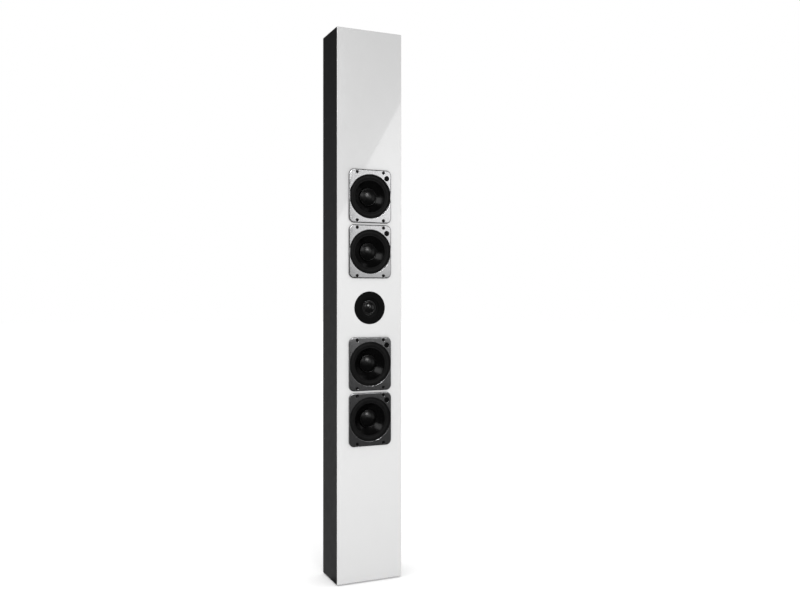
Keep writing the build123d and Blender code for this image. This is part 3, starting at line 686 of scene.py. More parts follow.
def polished_gold(base=(0.83, 0.62, 0.27)):
    finish = Finish("gold plate", base, 0.18, metallic=1.0)
    finish.vary_colour(finish.noise(160.0, detail=4), 0.05)
    finish.vary_roughness(finish.noise(300.0, detail=6), 0.07)
    return finish.bump(finish.noise(1500.0, detail=2), 0.00001, 0.4).material


def zinc_steel(base=(0.52, 0.52, 0.54)):
    """Zinc-plated steel with the patchy crystals of the plating."""
    finish = Finish("zinc plated steel", base, 0.34, metallic=1.0)
    finish.vary_colour(finish.cells(260.0), 0.12)
    finish.vary_roughness(finish.noise(180.0, detail=6), 0.10)
    return finish.bump(finish.noise(1300.0, detail=3), 0.00002, 0.5).material


def ferrite(base=(0.055, 0.055, 0.06)):
    finish = Finish("ferrite", base, 0.62, specular=0.4)
    finish.vary_colour(finish.noise(240.0, detail=6), 0.25)
    finish.vary_roughness(finish.noise(90.0, detail=5), 0.08)
    return finish.bump(finish.noise(900.0, detail=6), 0.00012, 0.6).material


def fibre_board(base=(0.46, 0.35, 0.24)):
    """Raw medium-density board: short fibres and a slight mottle."""
    finish = Finish("raw fibre board", base, 0.78, specular=0.25)
    finish.vary_colour(finish.noise(60.0, detail=8, roughness=0.7), 0.16)
    fibres = finish.noise(1.0, detail=6, stretch=(900.0, 900.0, 260.0))
    finish.vary_roughness(fibres, 0.08)
    return finish.bump(fibres, 0.00015, 0.6).material


def wadding(base=(0.78, 0.78, 0.76)):
    """Loose polyester wadding."""
    finish = Finish("wadding", base, 0.95, specular=0.1)
    finish.set(sheen_weight=0.4, sheen_roughness=0.6)
    finish.vary_colour(finish.noise(50.0, detail=8, roughness=0.75), 0.12)
    return finish.bump(finish.noise(160.0, detail=8, roughness=0.75), 0.002, 0.7).material


def spider_cloth(base=(0.42, 0.27, 0.08)):
    """Resin-dipped woven cotton."""
    finish = Finish("spider cloth", base, 0.66, specular=0.3)
    weave = finish.combine("MULTIPLY", finish.bands(500.0, "X"), finish.bands(500.0, "Z"))
    finish.vary_colour(finish.noise(90.0, detail=5), 0.2)
    finish.vary_roughness(finish.noise(300.0, detail=3), 0.08)
    return finish.bump(weave, 0.0001, 0.7).material


def copper_winding(base=(0.63, 0.27, 0.13)):
    """Enamelled copper wire, wound side by side."""
    finish = Finish("copper winding", base, 0.26, metallic=0.9)
    finish.vary_colour(finish.noise(200.0, detail=4), 0.12)
    finish.vary_roughness(finish.noise(260.0, detail=4), 0.06)
    return finish.bump(finish.bands(320.0, "Y"), 0.0002, 0.6).material


def circuit_board(base=(0.02, 0.12, 0.05)):
    """Solder mask with copper tracks showing through as lighter, raised paths."""
    finish = Finish("circuit board", base, 0.36, specular=0.5)
    tracks = finish.combine("GREATER_THAN", finish.bands(22.0, "X", distortion=6.0), 0.72)
    finish.vary_colour(tracks, 0.0, other=(0.05, 0.22, 0.10))
    finish.vary_roughness(finish.noise(300.0, detail=3), 0.05)
    return finish.bump(tracks, 0.00008, 0.7).material


def white_ceramic(base=(0.78, 0.77, 0.73)):
    finish = Finish("resistor ceramic", base, 0.7, specular=0.35)
    finish.vary_colour(finish.noise(300.0, detail=6), 0.06)
    return finish.bump(finish.noise(1400.0, detail=4), 0.00008, 0.6).material


def reflected_light(name, glow, fades=()):
    """Light for reflections only, which fades out from a bright height to a dark one at each of its fades."""
    finish = Finish(name, (0, 0, 0), 1.0, specular=0.0)
    finish.set(emission_color=(1, 1, 1, 1), emission_strength=glow)
    if fades:
        height = finish.nodes.new("ShaderNodeSeparateXYZ")
        finish.links.new(finish.place, height.inputs["Vector"])
        strength = glow
        for dark, bright in fades:
            fade = finish.nodes.new("ShaderNodeMapRange")
            fade.interpolation_type = "SMOOTHSTEP"
            fade.inputs["From Min"].default_value = dark
            fade.inputs["From Max"].default_value = bright
            finish.links.new(height.outputs["Z"], fade.inputs["Value"])
            strength = finish.combine("MULTIPLY", strength, fade.outputs["Result"])
        finish.links.new(strength, finish.shader.inputs["Emission Strength"])
    return finish.material


def stage_white(name, brightness, glow):
    """Plain pale surface of the set, with a soft glow of its own so that it stays even."""
    finish = Finish(name, (brightness,) * 3, 0.9, specular=0.0)
    finish.vary_colour(finish.noise(3.0, detail=2), 0.004)
    finish.set(emission_color=(1, 1, 1, 1), emission_strength=glow)
    return finish.material


MADE = {}


def finish_for(slot):
    """The material of a slot, made once."""
    settings = bpy.context.scene
    cabinet, woofer = settings.speaker_cabinet, settings.speaker_woofer
    tweeter, terminal = settings.speaker_tweeter, settings.speaker_terminal
    makers = {
        "fascia_gloss": lambda: lacquer(cabinet.fascia_colour),
        "cabinet_satin": lambda: satin_film(cabinet.side_colour),
        "raw_board": fibre_board,
        "frame_silver": lambda: cast_silver(woofer.frame_colour),
        "surround_rubber": lambda: moulded_rubber(woofer.rubber_colour),
        "cone_gloss": lambda: gloss_cone(woofer.cone_colour),
        "cap_gloss": lambda: gloss_cone(woofer.cone_colour, "dust cap gloss", roughness=0.3, specular=0.35),
        "coil_copper": copper_winding,
        "spider_cloth": spider_cloth,
        "zinc_steel": zinc_steel,
        "ferrite": ferrite,
        "black_screw": black_oxide,
        "badge_black": lambda: moulded_plastic((0.002, 0.002, 0.002), "badge black", 0.5, 0.05),
        "tweeter_black": lambda: moulded_plastic(tweeter.plate_colour, "tweeter black", 0.5, 0.06),
        "dome_silk": lambda: coated_silk(tweeter.dome_colour),
        "cup_black": lambda: moulded_plastic(terminal.cup_colour, "cup black", 0.45),
        "post_gold": polished_gold,
        "post_red": lambda: gloss_plastic(terminal.red_colour, "post red"),
        "post_black": lambda: gloss_plastic(terminal.black_colour, "post black"),
        "board_green": circuit_board,
        "capacitor_film": lambda: gloss_plastic((0.50, 0.30, 0.03), "capacitor film"),
        "resistor_ceramic": white_ceramic,
        "wire_jacket": lambda: moulded_rubber((0.03, 0.03, 0.04), "wire jacket"),
        "wadding": wadding,
        "foot_rubber": lambda: moulded_rubber((0.02, 0.02, 0.02), "foot rubber"),
    }
    if slot not in MADE:
        MADE[slot] = makers[slot]()
    return MADE[slot]


def dress_node(node):
    """Give a CAD node that stays in view its slot's material."""
    slot = next(row["material_slot"] for row in frame["record"]["subparts"] if row["node"] == node)
    mesh = frame["nodes"][node].data
    mesh.materials.clear()
    mesh.materials.append(finish_for(slot))


# Cabinet

CUTOUT_PLAY = 0.5 * MM
PLATE_PLAY = 0.25 * MM
CUTOUT_EDGE = 0.4 * MM
CUTOUT_STEPS = 96
CUP_HALF_W = 31.0 * MM
CUP_HALF_H = 22.0 * MM
CUP_PLAY = 0.3 * MM
CUP_OPENING_CORNER = 0.5 * MM
FOOT_R = 8.0 * MM


class SPEAKER_OT_fascia(bpy.types.Operator):
    """Build the gloss front panel with its driver openings"""
    bl_idname = "speaker.fascia"
    bl_label = "Front Fascia"

    def execute(self, context):
        edge = context.scene.speaker_cabinet.fascia_edge
        thickness = fascia_high.y - fascia_low.y
        centre = Vector((0, FRONT_Y + thickness, (BASE_Z + TOP_Z) / 2))
        contours = [outer_rectangle(HALF_W, (TOP_Z - BASE_Z) / 2, edge, edge, steps=4)]
        woofer_r = context.scene.speaker_woofer.skirt + CUTOUT_PLAY
        cutouts = [(woofer_centre(number).z, woofer_r) for number in WOOFERS]
        cutouts.append((TWEETER_CENTRE.z, (plate_high.x - plate_low.x) / 2 + PLATE_PLAY))
        for height, radius in cutouts:
            contours.append(round_hole(radius, CUTOUT_EDGE, CUTOUT_STEPS, up=height - centre.z))
        bm = bmesh.new()
        add_plate(bm, contours, 0, thickness, front_place(centre))
        fascia = finish_piece(bm, "fascia", CABINET, "fascia_gloss", ["front_fascia"])
        self.wrap_sides(fascia, centre.z)
        return {"FINISHED"}

    def wrap_sides(self, fascia, middle_z):
        """The dark film of the cabinet runs on over the panel's outer sides."""
        fascia.data.materials.append(finish_for("cabinet_satin"))
        half_w, half_h = HALF_W - 10 * NEAR, (TOP_Z - BASE_Z) / 2 - 10 * NEAR
        for face in fascia.data.polygons:
            sideways = abs(face.center.x) > half_w and abs(face.normal.x) > 0.9
            upright = abs(face.center.z - middle_z) > half_h and abs(face.normal.z) > 0.9
            if sideways or upright:
                face.material_index = 1


class SPEAKER_OT_boards(bpy.types.Operator):
    """Build the side, top, bottom and back boards"""
    bl_idname = "speaker.boards"
    bl_label = "Cabinet Boards"

    def side(self, settings, name):
        """A side board: a large round on its rear edge, a small one at its ends."""
        low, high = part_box(f"{name}_side_panel")
        bm = bmesh.new()
        add_box(bm, low, high)
        outer_x = low.x if name == "left" else high.x
        rear = [
            edge for edge in bm.edges
            if all(abs(v.co.x - outer_x) < NEAR and abs(v.co.y - high.y) < NEAR for v in edge.verts)
        ]
        bevel_edges(bm, rear, settings.rear_edge, 6)
        ends = [
            edge for edge in bm.edges
            if abs(edge.verts[0].co.z - edge.verts[1].co.z) < NEAR and edge.is_manifold
            and all(vert.co.y > low.y + NEAR for vert in edge.verts)
        ]
        bevel_edges(bm, ends, settings.board_edge)
        finish_piece(bm, f"{name}_side", CABINET, "cabinet_satin", [f"{name}_side_panel"])

    def end(self, settings, node):
        """The top or the bottom board."""
        low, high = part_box(node)
        bm = bmesh.new()
        add_box(bm, low, high)
        bevel_edges(bm, list(bm.edges), settings.board_edge / 2)
        finish_piece(bm, node.replace("_panel", "_board"), CABINET, "cabinet_satin", [node])

    def back(self, settings):
        """The back board, with the opening that the terminal cup drops into."""
        half_w, half_h = (back_high.x - back_low.x) / 2, (back_high.z - back_low.z) / 2
        centre = Vector((0, back_low.y, (back_low.z + back_high.z) / 2))
        edge = settings.board_edge
        contours = [
            outer_rectangle(half_w, half_h, edge / 2, edge, steps=2),
            rectangle_hole(
                CUP_HALF_W + CUP_PLAY, CUP_HALF_H + CUP_PLAY, CUP_OPENING_CORNER, edge, steps=3,
                up=CUP_CENTRE.z - centre.z, grow=False,
            ),
        ]
        bm = bmesh.new()
        add_plate(bm, contours, 0, back_high.y - back_low.y, back_place(centre))
        finish_piece(bm, "back_board", CABINET, "cabinet_satin", ["back_panel"])

    def execute(self, context):
        settings = context.scene.speaker_cabinet
        for name in ("left", "right"):
            self.side(settings, name)
        for node in ("top_panel", "bottom_panel"):
            self.end(settings, node)
        self.back(settings)
        return {"FINISHED"}


class SPEAKER_OT_feet(bpy.types.Operator):
    """Build the four rubber feet"""
    bl_idname = "speaker.feet"
    bl_label = "Rubber Feet"

    def execute(self, context):
        low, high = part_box("rubber_feet")
        radius, height = FOOT_R, high.z
        hollow, sole, waist, soft = radius - 3 * MM, radius - 1.5 * MM, height * 0.4, 0.4 * MM
        profile = softened([
            (0, 0), (hollow, 0), (sole, 0.0, soft), (radius, waist, soft),
            (radius, height, 0.3 * MM), (0, height),
        ])
        bm = bmesh.new()
        for x in (low.x + radius, high.x - radius):
            for y in (low.y + radius, high.y - radius):
                add_turned(bm, profile, floor_place(Vector((x, y, 0))), 64, closed=False)
        finish_piece(bm, "feet", CABINET, "foot_rubber", ["rubber_feet"])
        return {"FINISHED"}


# Woofers

CONE_RIM_R = 38.4 * MM
COIL_R = 12.95 * MM
CONE_T = 0.8 * MM
ROLL_INNER_R = 38.5 * MM
ROLL_OUTER_R = 48.5 * MM
SPIDER_RIM = 3.0 * MM


class SPEAKER_OT_frames(bpy.types.Operator):
    """Build the woofers' rounded metal frames with their chassis behind"""
    bl_idname = "speaker.frames"
    bl_label = "Woofer Frames"

    def flange(self, bm, settings, place, proud, half_w, half_h):
        """The plate in front, with its mouth, four screw seats and the badge's recess."""
        seat_r, seat_depth = settings.screw_head + 0.2 * MM, 2.1 * MM
        recess_r, recess_depth = settings.badge + 0.1 * MM, 0.6 * MM
        contours = [
            outer_rectangle(half_w, half_h, settings.frame_corner, settings.frame_edge, steps=12),
            round_hole(settings.mouth, 0.7 * MM, settings.segments),
        ]
        for across, up in four_corners(settings.screw_x, settings.screw_z):
            contours.append(round_hole(seat_r, 0.3 * MM, 48, across, up, proud - seat_depth))
        contours.append(round_hole(
            recess_r, 0.2 * MM, 48, settings.badge_x, settings.badge_z, proud - recess_depth
        ))
        add_plate(bm, contours, 0, proud, place)

    def chassis(self, bm, settings, place):
        """The ring under the surround, the cup that carries spider and motor, and six arms between."""
        skirt, neck, seat = settings.skirt, settings.neck, -settings.seat
        wall, soft = 2.5 * MM, 0.5 * MM
        shoulder, spider = -5.0 * MM, -23.5 * MM
        shelf_top, shelf_r, flange_back = settings.ledge, settings.mouth + 0.2 * MM, 0.2 * MM
        floor_r, floor_t, cup_wall, ledge_w = 20 * MM, 2 * MM, 2 * MM, 6 * MM
        top_ring = softened([
            (skirt - wall, shelf_top), (shelf_r, shelf_top), (shelf_r, flange_back), (skirt, flange_back),
            (skirt, shoulder - 1 * MM, soft), (skirt - wall, shoulder, soft),
        ])
        low_ring = softened([
            (neck, spider + cup_wall, soft), (neck, seat, soft), (floor_r, seat, soft),
            (floor_r, seat + floor_t, soft), (neck - cup_wall, seat + floor_t),
            (neck - cup_wall, spider - cup_wall),
            (neck - ledge_w, spider - cup_wall, 0.3 * MM), (neck - ledge_w, spider, 0.3 * MM),
            (neck - wall, spider),
        ])
        add_turned(bm, top_ring, place, settings.segments)
        add_turned(bm, low_ring, place, settings.segments)
        for step in range(6):
            self.arm(bm, place, math.radians(30 + 60 * step), (skirt, shoulder), (neck, spider), wall)

    def arm(self, bm, place, turn, top, bottom, wall):
        """One arm of the chassis, narrower at its lower end."""
        half = 9.0 * MM
        rings = []
        for (radius, out), narrow in ((top, 1.0), (bottom, 0.7)):
            corners = []
            for reach, side in ((0, -1), (0, 1), (-wall, 1), (-wall, -1)):
                angle = turn + side * half * narrow / radius
                across, up = (radius + reach) * math.cos(angle), (radius + reach) * math.sin(angle)
                corners.append(bm.verts.new(place(across, up, out)))
            rings.append(corners)
        bridge(bm, rings[0], rings[1])
        bm.faces.new(rings[0])
        bm.faces.new(rings[1])

    def execute(self, context):
        settings = context.scene.speaker_woofer
        for number in WOOFERS:
            low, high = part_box(f"woofer_{number}_frame")
            place = front_place(woofer_centre(number))
            bm = bmesh.new()
            self.flange(bm, settings, place, FRONT_Y - low.y, (high.x - low.x) / 2, (high.z - low.z) / 2)
            self.chassis(bm, settings, place)
            finish_piece(bm, f"frame_{number}", CABINET, "frame_silver", [f"woofer_{number}_frame"])
        return {"FINISHED"}


class SPEAKER_OT_surrounds(bpy.types.Operator):
    """Build the rubber half-roll surrounds"""
    bl_idname = "speaker.surrounds"
    bl_label = "Woofer Surrounds"

    def profile(self, settings):
        shelf, wall, soft, crest = settings.ledge, 0.8 * MM, 0.3 * MM, 2.15 * MM
        rim, cone_edge = settings.mouth - 0.25 * MM, 36.5 * MM
        top, chamfer = shelf + wall, shelf + wall * 0.7
        over = arc_points((ROLL_INNER_R, top), (ROLL_OUTER_R, top), crest, 20)
        under = arc_points((ROLL_INNER_R + wall, shelf), (ROLL_OUTER_R - wall, shelf), crest, 20)
        inner = [Vector((cone_edge, shelf)), Vector((cone_edge, chamfer)), Vector((cone_edge + soft, top))]
        outer = [Vector((rim - soft, top)), Vector((rim, chamfer)), Vector((rim, shelf))]
        return inner + over + outer + list(reversed(under))

    def execute(self, context):
        settings = context.scene.speaker_woofer
        for number in WOOFERS:
            centre = woofer_centre(number)
            bm = bmesh.new()
            add_turned(bm, self.profile(settings), front_place(centre), settings.segments)
            piece = finish_piece(
                bm, f"surround_{number}", None, "surround_rubber", [f"woofer_{number}_surround"],
                keep_flat=False,
            )
            roll_with(piece)
        return {"FINISHED"}


class SPEAKER_OT_spiders(bpy.types.Operator):
    """Build the corrugated cloth spiders"""
    bl_idname = "speaker.spiders"
    bl_label = "Woofer Spiders"

    def profile(self, outer, base, height):
        """Four waves between two flat rims."""
        cloth, waves, steps = 0.45 * MM, 4, 64
        wave = height - cloth
        line = [(COIL_R, 0.0)]
        for step in range(steps + 1):
            share = step / steps
            radius = COIL_R + SPIDER_RIM + (outer - COIL_R - 2 * SPIDER_RIM) * share
            line.append((radius, wave * (0.5 - 0.5 * math.cos(math.tau * waves * share))))
        line.append((outer, 0.0))
        over = [Vector((radius, base + cloth + rise)) for radius, rise in line]
        return over + [Vector((radius, base + rise)) for radius, rise in reversed(line)]

    def execute(self, context):
        settings = context.scene.speaker_woofer
        for number in WOOFERS:
            centre = woofer_centre(number)
            low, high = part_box(f"woofer_{number}_spider")
            outer = (high.x - low.x) / 2
            bm = bmesh.new()
            profile = self.profile(outer, centre.y - high.y, high.y - low.y)
            add_turned(bm, profile, front_place(centre), settings.segments)
            piece = finish_piece(
                bm, f"spider_{number}", None, "spider_cloth", [f"woofer_{number}_spider"], keep_flat=False,
            )
            roll_with(piece)
        return {"FINISHED"}


def half_dome(radius, base, top):
    """The line of a shallow dome, from its rim to the top on its axis."""
    line = arc_points((radius, base), (-radius, base), base - top, 64)[:33]
    line[-1] = Vector((0, top))
    return line


def dome_shell(radius, base, top, wall):
    """The closed profile of a dome of even thickness."""
    return half_dome(radius, base, top) + list(reversed(half_dome(radius - wall, base, top - wall)))


class SPEAKER_OT_cones(bpy.types.Operator):
    """Build the gloss cones and their dust caps"""
    bl_idname = "speaker.cones"
    bl_label = "Cones and Dust Caps"

    def cone(self, settings, number, place):
        """A flared cone that is steep at the neck, with a flat rim under the surround."""
        shelf, neck, flare = settings.ledge - 0.02 * MM, -15.5 * MM, 1.15 * MM
        front = arc_points((CONE_RIM_R - 2 * MM, shelf), (COIL_R, neck), flare, 40)
        back = [point - Vector((0, CONE_T)) for point in reversed(front)]
        profile = [Vector((CONE_RIM_R, shelf - CONE_T)), Vector((CONE_RIM_R, shelf))] + front + back
        bm = bmesh.new()
        add_turned(bm, profile, place, settings.segments)
        finish_piece(
            bm, f"cone_{number}", f"woofer_{number}_moving", "cone_gloss", [f"woofer_{number}_cone"],
            keep_flat=False,
        )

    def bead(self, radius, base):
        """The bead of glue where the dust cap meets the cone."""
        width, height, steps = 0.55 * MM, 0.45 * MM, 12
        middle_r, middle_out = radius + 0.15 * MM, base + 0.25 * MM
        turns = [math.tau * step / steps for step in range(steps)]
        return [
            Vector((middle_r + width * math.cos(turn), middle_out + height * math.sin(turn)))
            for turn in turns
        ]

    def cap(self, settings, number, centre):
        low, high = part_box(f"woofer_{number}_dust_cap")
        radius, base, top = (high.x - low.x) / 2, centre.y - high.y, centre.y - low.y
        bm = bmesh.new()
        for profile in (dome_shell(radius, base, top, 0.6 * MM), self.bead(radius, base)):
            add_turned(bm, profile, front_place(centre), settings.segments)
        finish_piece(
            bm, f"dust_cap_{number}", f"woofer_{number}_moving", "cap_gloss", [f"woofer_{number}_dust_cap"],
            keep_flat=False,
        )

    def execute(self, context):
        settings = context.scene.speaker_woofer
        for number in WOOFERS:
            centre = woofer_centre(number)
            self.cone(settings, number, front_place(centre))
            self.cap(settings, number, centre)
        return {"FINISHED"}


class SPEAKER_OT_screws(bpy.types.Operator):
    """Build the woofers' socket screws and the blank badges"""
    bl_idname = "speaker.screws"
    bl_label = "Screws and Badges"

    def badge(self, settings):
        """A plain disc whose middle is sunk a little."""
        top = FRONT_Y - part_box("frame_badges")[0].y
        radius = settings.badge
        sunk, bottom, soft = top - 0.12 * MM, top - 0.6 * MM, 0.1 * MM
        return softened([
            (0, sunk), (radius * 0.72, sunk, soft), (radius * 0.78, top, soft), (radius, top, 2 * soft),
            (radius, bottom), (0, bottom),
        ])

    def execute(self, context):
        settings = context.scene.speaker_woofer
        proud = FRONT_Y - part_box("woofer_screws")[0].y
        screw = Screw(settings.screw_head, 2.0 * MM, 1.5 * MM, 1.1 * MM, 1.6 * MM, 17 * MM)
        screws, badges = bmesh.new(), bmesh.new()
        badge = self.badge(settings)
        for number in WOOFERS:
            centre = woofer_centre(number)
            for spot in four_corners(settings.screw_x, settings.screw_z):
                add_socket_screw(screws, front_place(centre), spot, proud, screw)
            badge_centre = centre + Vector((settings.badge_x, 0, settings.badge_z))
            add_turned(badges, badge, front_place(badge_centre), 64, closed=False)
        finish_piece(screws, "screws", CABINET, "black_screw", ["woofer_screws"])
        finish_piece(badges, "badges", CABINET, "badge_black", ["frame_badges"])
        return {"FINISHED"}


# Tweeter

PLATE_STEPS = 144
DOME_STEPS = 96


class SPEAKER_OT_tweeter(bpy.types.Operator):
    """Build the tweeter's faceplate, dome, surround and screws"""
    bl_idname = "speaker.tweeter"
    bl_label = "Tweeter"

    def faceplate(self, settings, place, proud):
        """The round plate with its dished middle and four screw seats."""
        radius, back = (plate_high.x - plate_low.x) / 2, FRONT_Y - plate_high.y
        seat_r, seat_depth = settings.screw_head + 0.2 * MM, 1.6 * MM
        contours = [
            outer_circle(radius, 0.4 * MM, PLATE_STEPS),
            round_hole(settings.dish, 0.5 * MM, PLATE_STEPS),
        ]
        for across, up in four_on_circle(settings.screw_circle):
            contours.append(round_hole(seat_r, 0.2 * MM, 40, across, up, proud - seat_depth))
        bm = bmesh.new()
        add_plate(bm, contours, back, proud, place)
        lip = softened([
            (settings.dish, -1.0 * MM), (settings.throat + 0.4 * MM, -1.8 * MM, 0.3 * MM),
            (settings.throat, back), (settings.dish, back),
        ])
        add_turned(bm, lip, place, PLATE_STEPS)
        finish_piece(bm, "faceplate", CABINET, "tweeter_black", ["tweeter_faceplate"])

    def dome(self, place, centre):
        low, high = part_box("tweeter_dome")
        radius, base, top = (high.x - low.x) / 2, centre.y - high.y, centre.y - low.y
        bm = bmesh.new()
        add_turned(bm, dome_shell(radius, base, top, 0.4 * MM), place, DOME_STEPS)
        finish_piece(bm, "dome", "tweeter_moving", "dome_silk", ["tweeter_dome"], keep_flat=False)

    def surround(self, settings, place, centre):
        """The narrow half roll between the dome and the plate."""
        low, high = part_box("tweeter_surround")
        rim, floor = (high.x - low.x) / 2, centre.y - high.y
        roll_in, roll_out = settings.dome + 0.1 * MM, rim - 1.2 * MM
        dome_base = centre.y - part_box("tweeter_dome")[1].y
        top, under_out = floor + 0.6 * MM, roll_out - 0.4 * MM
        over = arc_points((roll_in, dome_base + 0.4 * MM), (roll_out, top), 0.85 * MM, 12)
        under = arc_points((roll_in, dome_base), (under_out, floor + 0.2 * MM), 0.7 * MM, 12)
        profile = over + [Vector((rim, top)), Vector((rim, floor)), Vector((under_out, floor))]
        bm = bmesh.new()
        add_turned(bm, profile + list(reversed(under)), place, DOME_STEPS)
        piece = finish_piece(bm, "dome_surround", None, "dome_silk", ["tweeter_surround"], keep_flat=False)
        roll_with(piece)

    def screws(self, settings, place):
        proud = FRONT_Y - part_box("tweeter_screws")[0].y
        screw = Screw(settings.screw_head, 1.5 * MM, 1.1 * MM, 0.8 * MM, 1.5 * MM, 14 * MM)
        bm = bmesh.new()
        for spot in four_on_circle(settings.screw_circle):
            add_socket_screw(bm, place, spot, proud, screw)
        finish_piece(bm, "dome_screws", CABINET, "black_screw", ["tweeter_screws"])

    def execute(self, context):
        settings = context.scene.speaker_tweeter
        place = front_place(TWEETER_CENTRE)
        self.faceplate(settings, place, FRONT_Y - plate_low.y)
        self.dome(place, TWEETER_CENTRE)
        self.surround(settings, place, TWEETER_CENTRE)
        self.screws(settings, place)
        return {"FINISHED"}


# Terminals

CUP_WALL = 2.5 * MM
CUP_CORNER = 5.0 * MM
CUP_FLOOR_Y = cup_low.y + CUP_WALL
CUP_SCREW_X = 37 * MM
CUP_SCREW_Z = 27 * MM
POST_X = 9.5 * MM
POST_BORE_R = 3.6 * MM
THREAD_CREST_R = 3.45 * MM
THREAD_ROOT_R = 3.1 * MM
THREAD_PITCH = 1.0 * MM


def thread_line(start, room, first, second):
    """The line of a cut thread, which goes from one radius to the other every half pitch."""
    line = []
    for step in range(int(room / THREAD_PITCH)):
        out = start + THREAD_PITCH * (step + 0.5)
        line += [Vector((first, out)), Vector((second, out + THREAD_PITCH / 2))]
    return line


class SPEAKER_OT_terminals(bpy.types.Operator):
    """Build the terminal cup, its screws and the binding posts on the back"""
    bl_idname = "speaker.terminals"
    bl_label = "Terminals"

    def cup(self, place):
        """The flange with its screw seats, the well behind it, and a raised ring round each post."""
        half_w, half_h = (cup_high.x - cup_low.x) / 2, (cup_high.z - cup_low.z) / 2
        floor, seat_r, seat_depth = CUP_FLOOR_Y - BACK_Y, 3.6 * MM, 1.6 * MM
        flange = [
            outer_rectangle(half_w, half_h, CUP_CORNER, 1.0 * MM, steps=8),
            rectangle_hole(CUP_HALF_W - CUP_WALL, CUP_HALF_H - CUP_WALL, CUP_CORNER - CUP_WALL, 0.8 * MM),
        ]
        for across, up in four_corners(CUP_SCREW_X, CUP_SCREW_Z):
            flange.append(round_hole(seat_r, 0.25 * MM, 40, across, up, CUP_FLANGE_T - seat_depth))
        bm = bmesh.new()
        add_plate(bm, flange, 0, CUP_FLANGE_T, place)
        self.well(bm, place, floor)
        inner, outer, top, soft = 8.0 * MM, 9.0 * MM, floor + 0.8 * MM, 0.3 * MM
        ring = softened([(inner, floor), (inner, top, soft), (outer, top, soft), (outer, floor)])
        for x in (-POST_X, POST_X):
            add_turned(bm, ring, back_place(Vector((x, BACK_Y, CUP_CENTRE.z))), 64)
        finish_piece(bm, "cup", CABINET, "cup_black", ["terminal_cup"])

    def well(self, bm, place, floor):
        """The recess behind the flange: inner wall, floor, and the outer wall inside the cabinet."""
        half_w, half_h, corner = CUP_HALF_W - CUP_WALL, CUP_HALF_H - CUP_WALL, CUP_CORNER - CUP_WALL
        mouth, soft, ramp = 0.3 * MM, 0.5 * MM, 1.5 * MM
        levels = [
            (half_w, half_h, corner, mouth),
            (half_w, half_h, corner, floor + ramp),
            (half_w - soft, half_h - soft, corner - soft, floor + 0.4 * MM),
            (half_w - ramp, half_h - ramp, 0.8 * MM, floor),
        ]

        def ring(across_half, up_half, radius, out):
            outline = rounded_outline(across_half, up_half, radius, 6)
            return [bm.verts.new(place(across, up, out)) for across, up in outline]
        inner = [ring(*level) for level in levels]
        outer = [ring(CUP_HALF_W, CUP_HALF_H, CUP_CORNER, out) for out in (mouth, floor - CUP_WALL)]
        for first, second in zip(inner, inner[1:]):
            bridge(bm, first, second)
        bm.faces.new(inner[-1])
        bridge(bm, inner[0], outer[0])
        bridge(bm, outer[0], outer[1])
        bm.faces.new(outer[1])

    def screws(self, place):
        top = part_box("terminal_cup_screws")[1].y - BACK_Y
        screw = Screw(3.4 * MM, 1.5 * MM, 1.5 * MM, 1.0 * MM, 1.6 * MM, 12 * MM)
        bm = bmesh.new()
        for spot in four_corners(CUP_SCREW_X, CUP_SCREW_Z):
            add_socket_screw(bm, place, spot, top, screw)
        finish_piece(bm, "cup_screws", CABINET, "black_screw", ["terminal_cup_screws"])

    def stud_line(self, tip, tail):
        """The tail's thread, the collar on the cup's floor, the tip's thread and the socket down the tip."""
        collar_r, collar_t = 7.2 * MM, 3.0 * MM
        socket_r, depth, chamfer, bevel = 2.05 * MM, 14.0 * MM, 0.4 * MM, 0.3 * MM
        root, crest = THREAD_ROOT_R, THREAD_CREST_R
        collar = softened([
            (crest, -0.2 * MM), (collar_r, 0), (collar_r, collar_t, 0.5 * MM), (crest, collar_t),
            (crest, collar_t + 10 * NEAR),
        ])[:-1]
        end = [
            (root, tip - chamfer), (root - chamfer, tip), (socket_r + bevel, tip), (socket_r, tip - bevel),
            (socket_r, tip - depth), (0, tip - depth),
        ]
        line = [Vector((0, tail)), Vector((root, tail))]
        line += thread_line(tail, -tail - 3 * MM, crest, root)
        line += collar
        line += thread_line(collar_t, tip - collar_t - 1 * MM, root, crest)
        return line + [Vector(point) for point in end]

    def studs(self):
        """Gold studs with a cut thread, their collars and their sockets."""
        low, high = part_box("post_studs")
        profile = self.stud_line(high.y - CUP_FLOOR_Y, low.y - CUP_FLOOR_Y)
        bm = bmesh.new()
        for name in POSTS:
            spot = middle(f"post_cap_{name}")
            add_turned(bm, profile, back_place(Vector((spot.x, CUP_FLOOR_Y, spot.z))), 64, closed=False)
        finish_piece(bm, "studs", CABINET, "post_gold", ["post_studs"], keep_flat=False)

    def washer(self, name):
        low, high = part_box(f"post_washer_{name}")
        centre = middle(f"post_washer_{name}")
        outer, thick, bore_soft, rim_soft = (high.x - low.x) / 2, high.y - low.y, 0.15 * MM, 0.25 * MM
        profile = softened([
            (POST_BORE_R, 0, bore_soft), (outer, 0, rim_soft), (outer, thick, rim_soft),
            (POST_BORE_R, thick, bore_soft),
        ])
        bm = bmesh.new()
        add_turned(bm, profile, back_place(Vector((centre.x, low.y, centre.z))), 64)
        finish_piece(bm, f"washer_{name}", f"{name}_washer", "post_gold", [f"post_washer_{name}"])

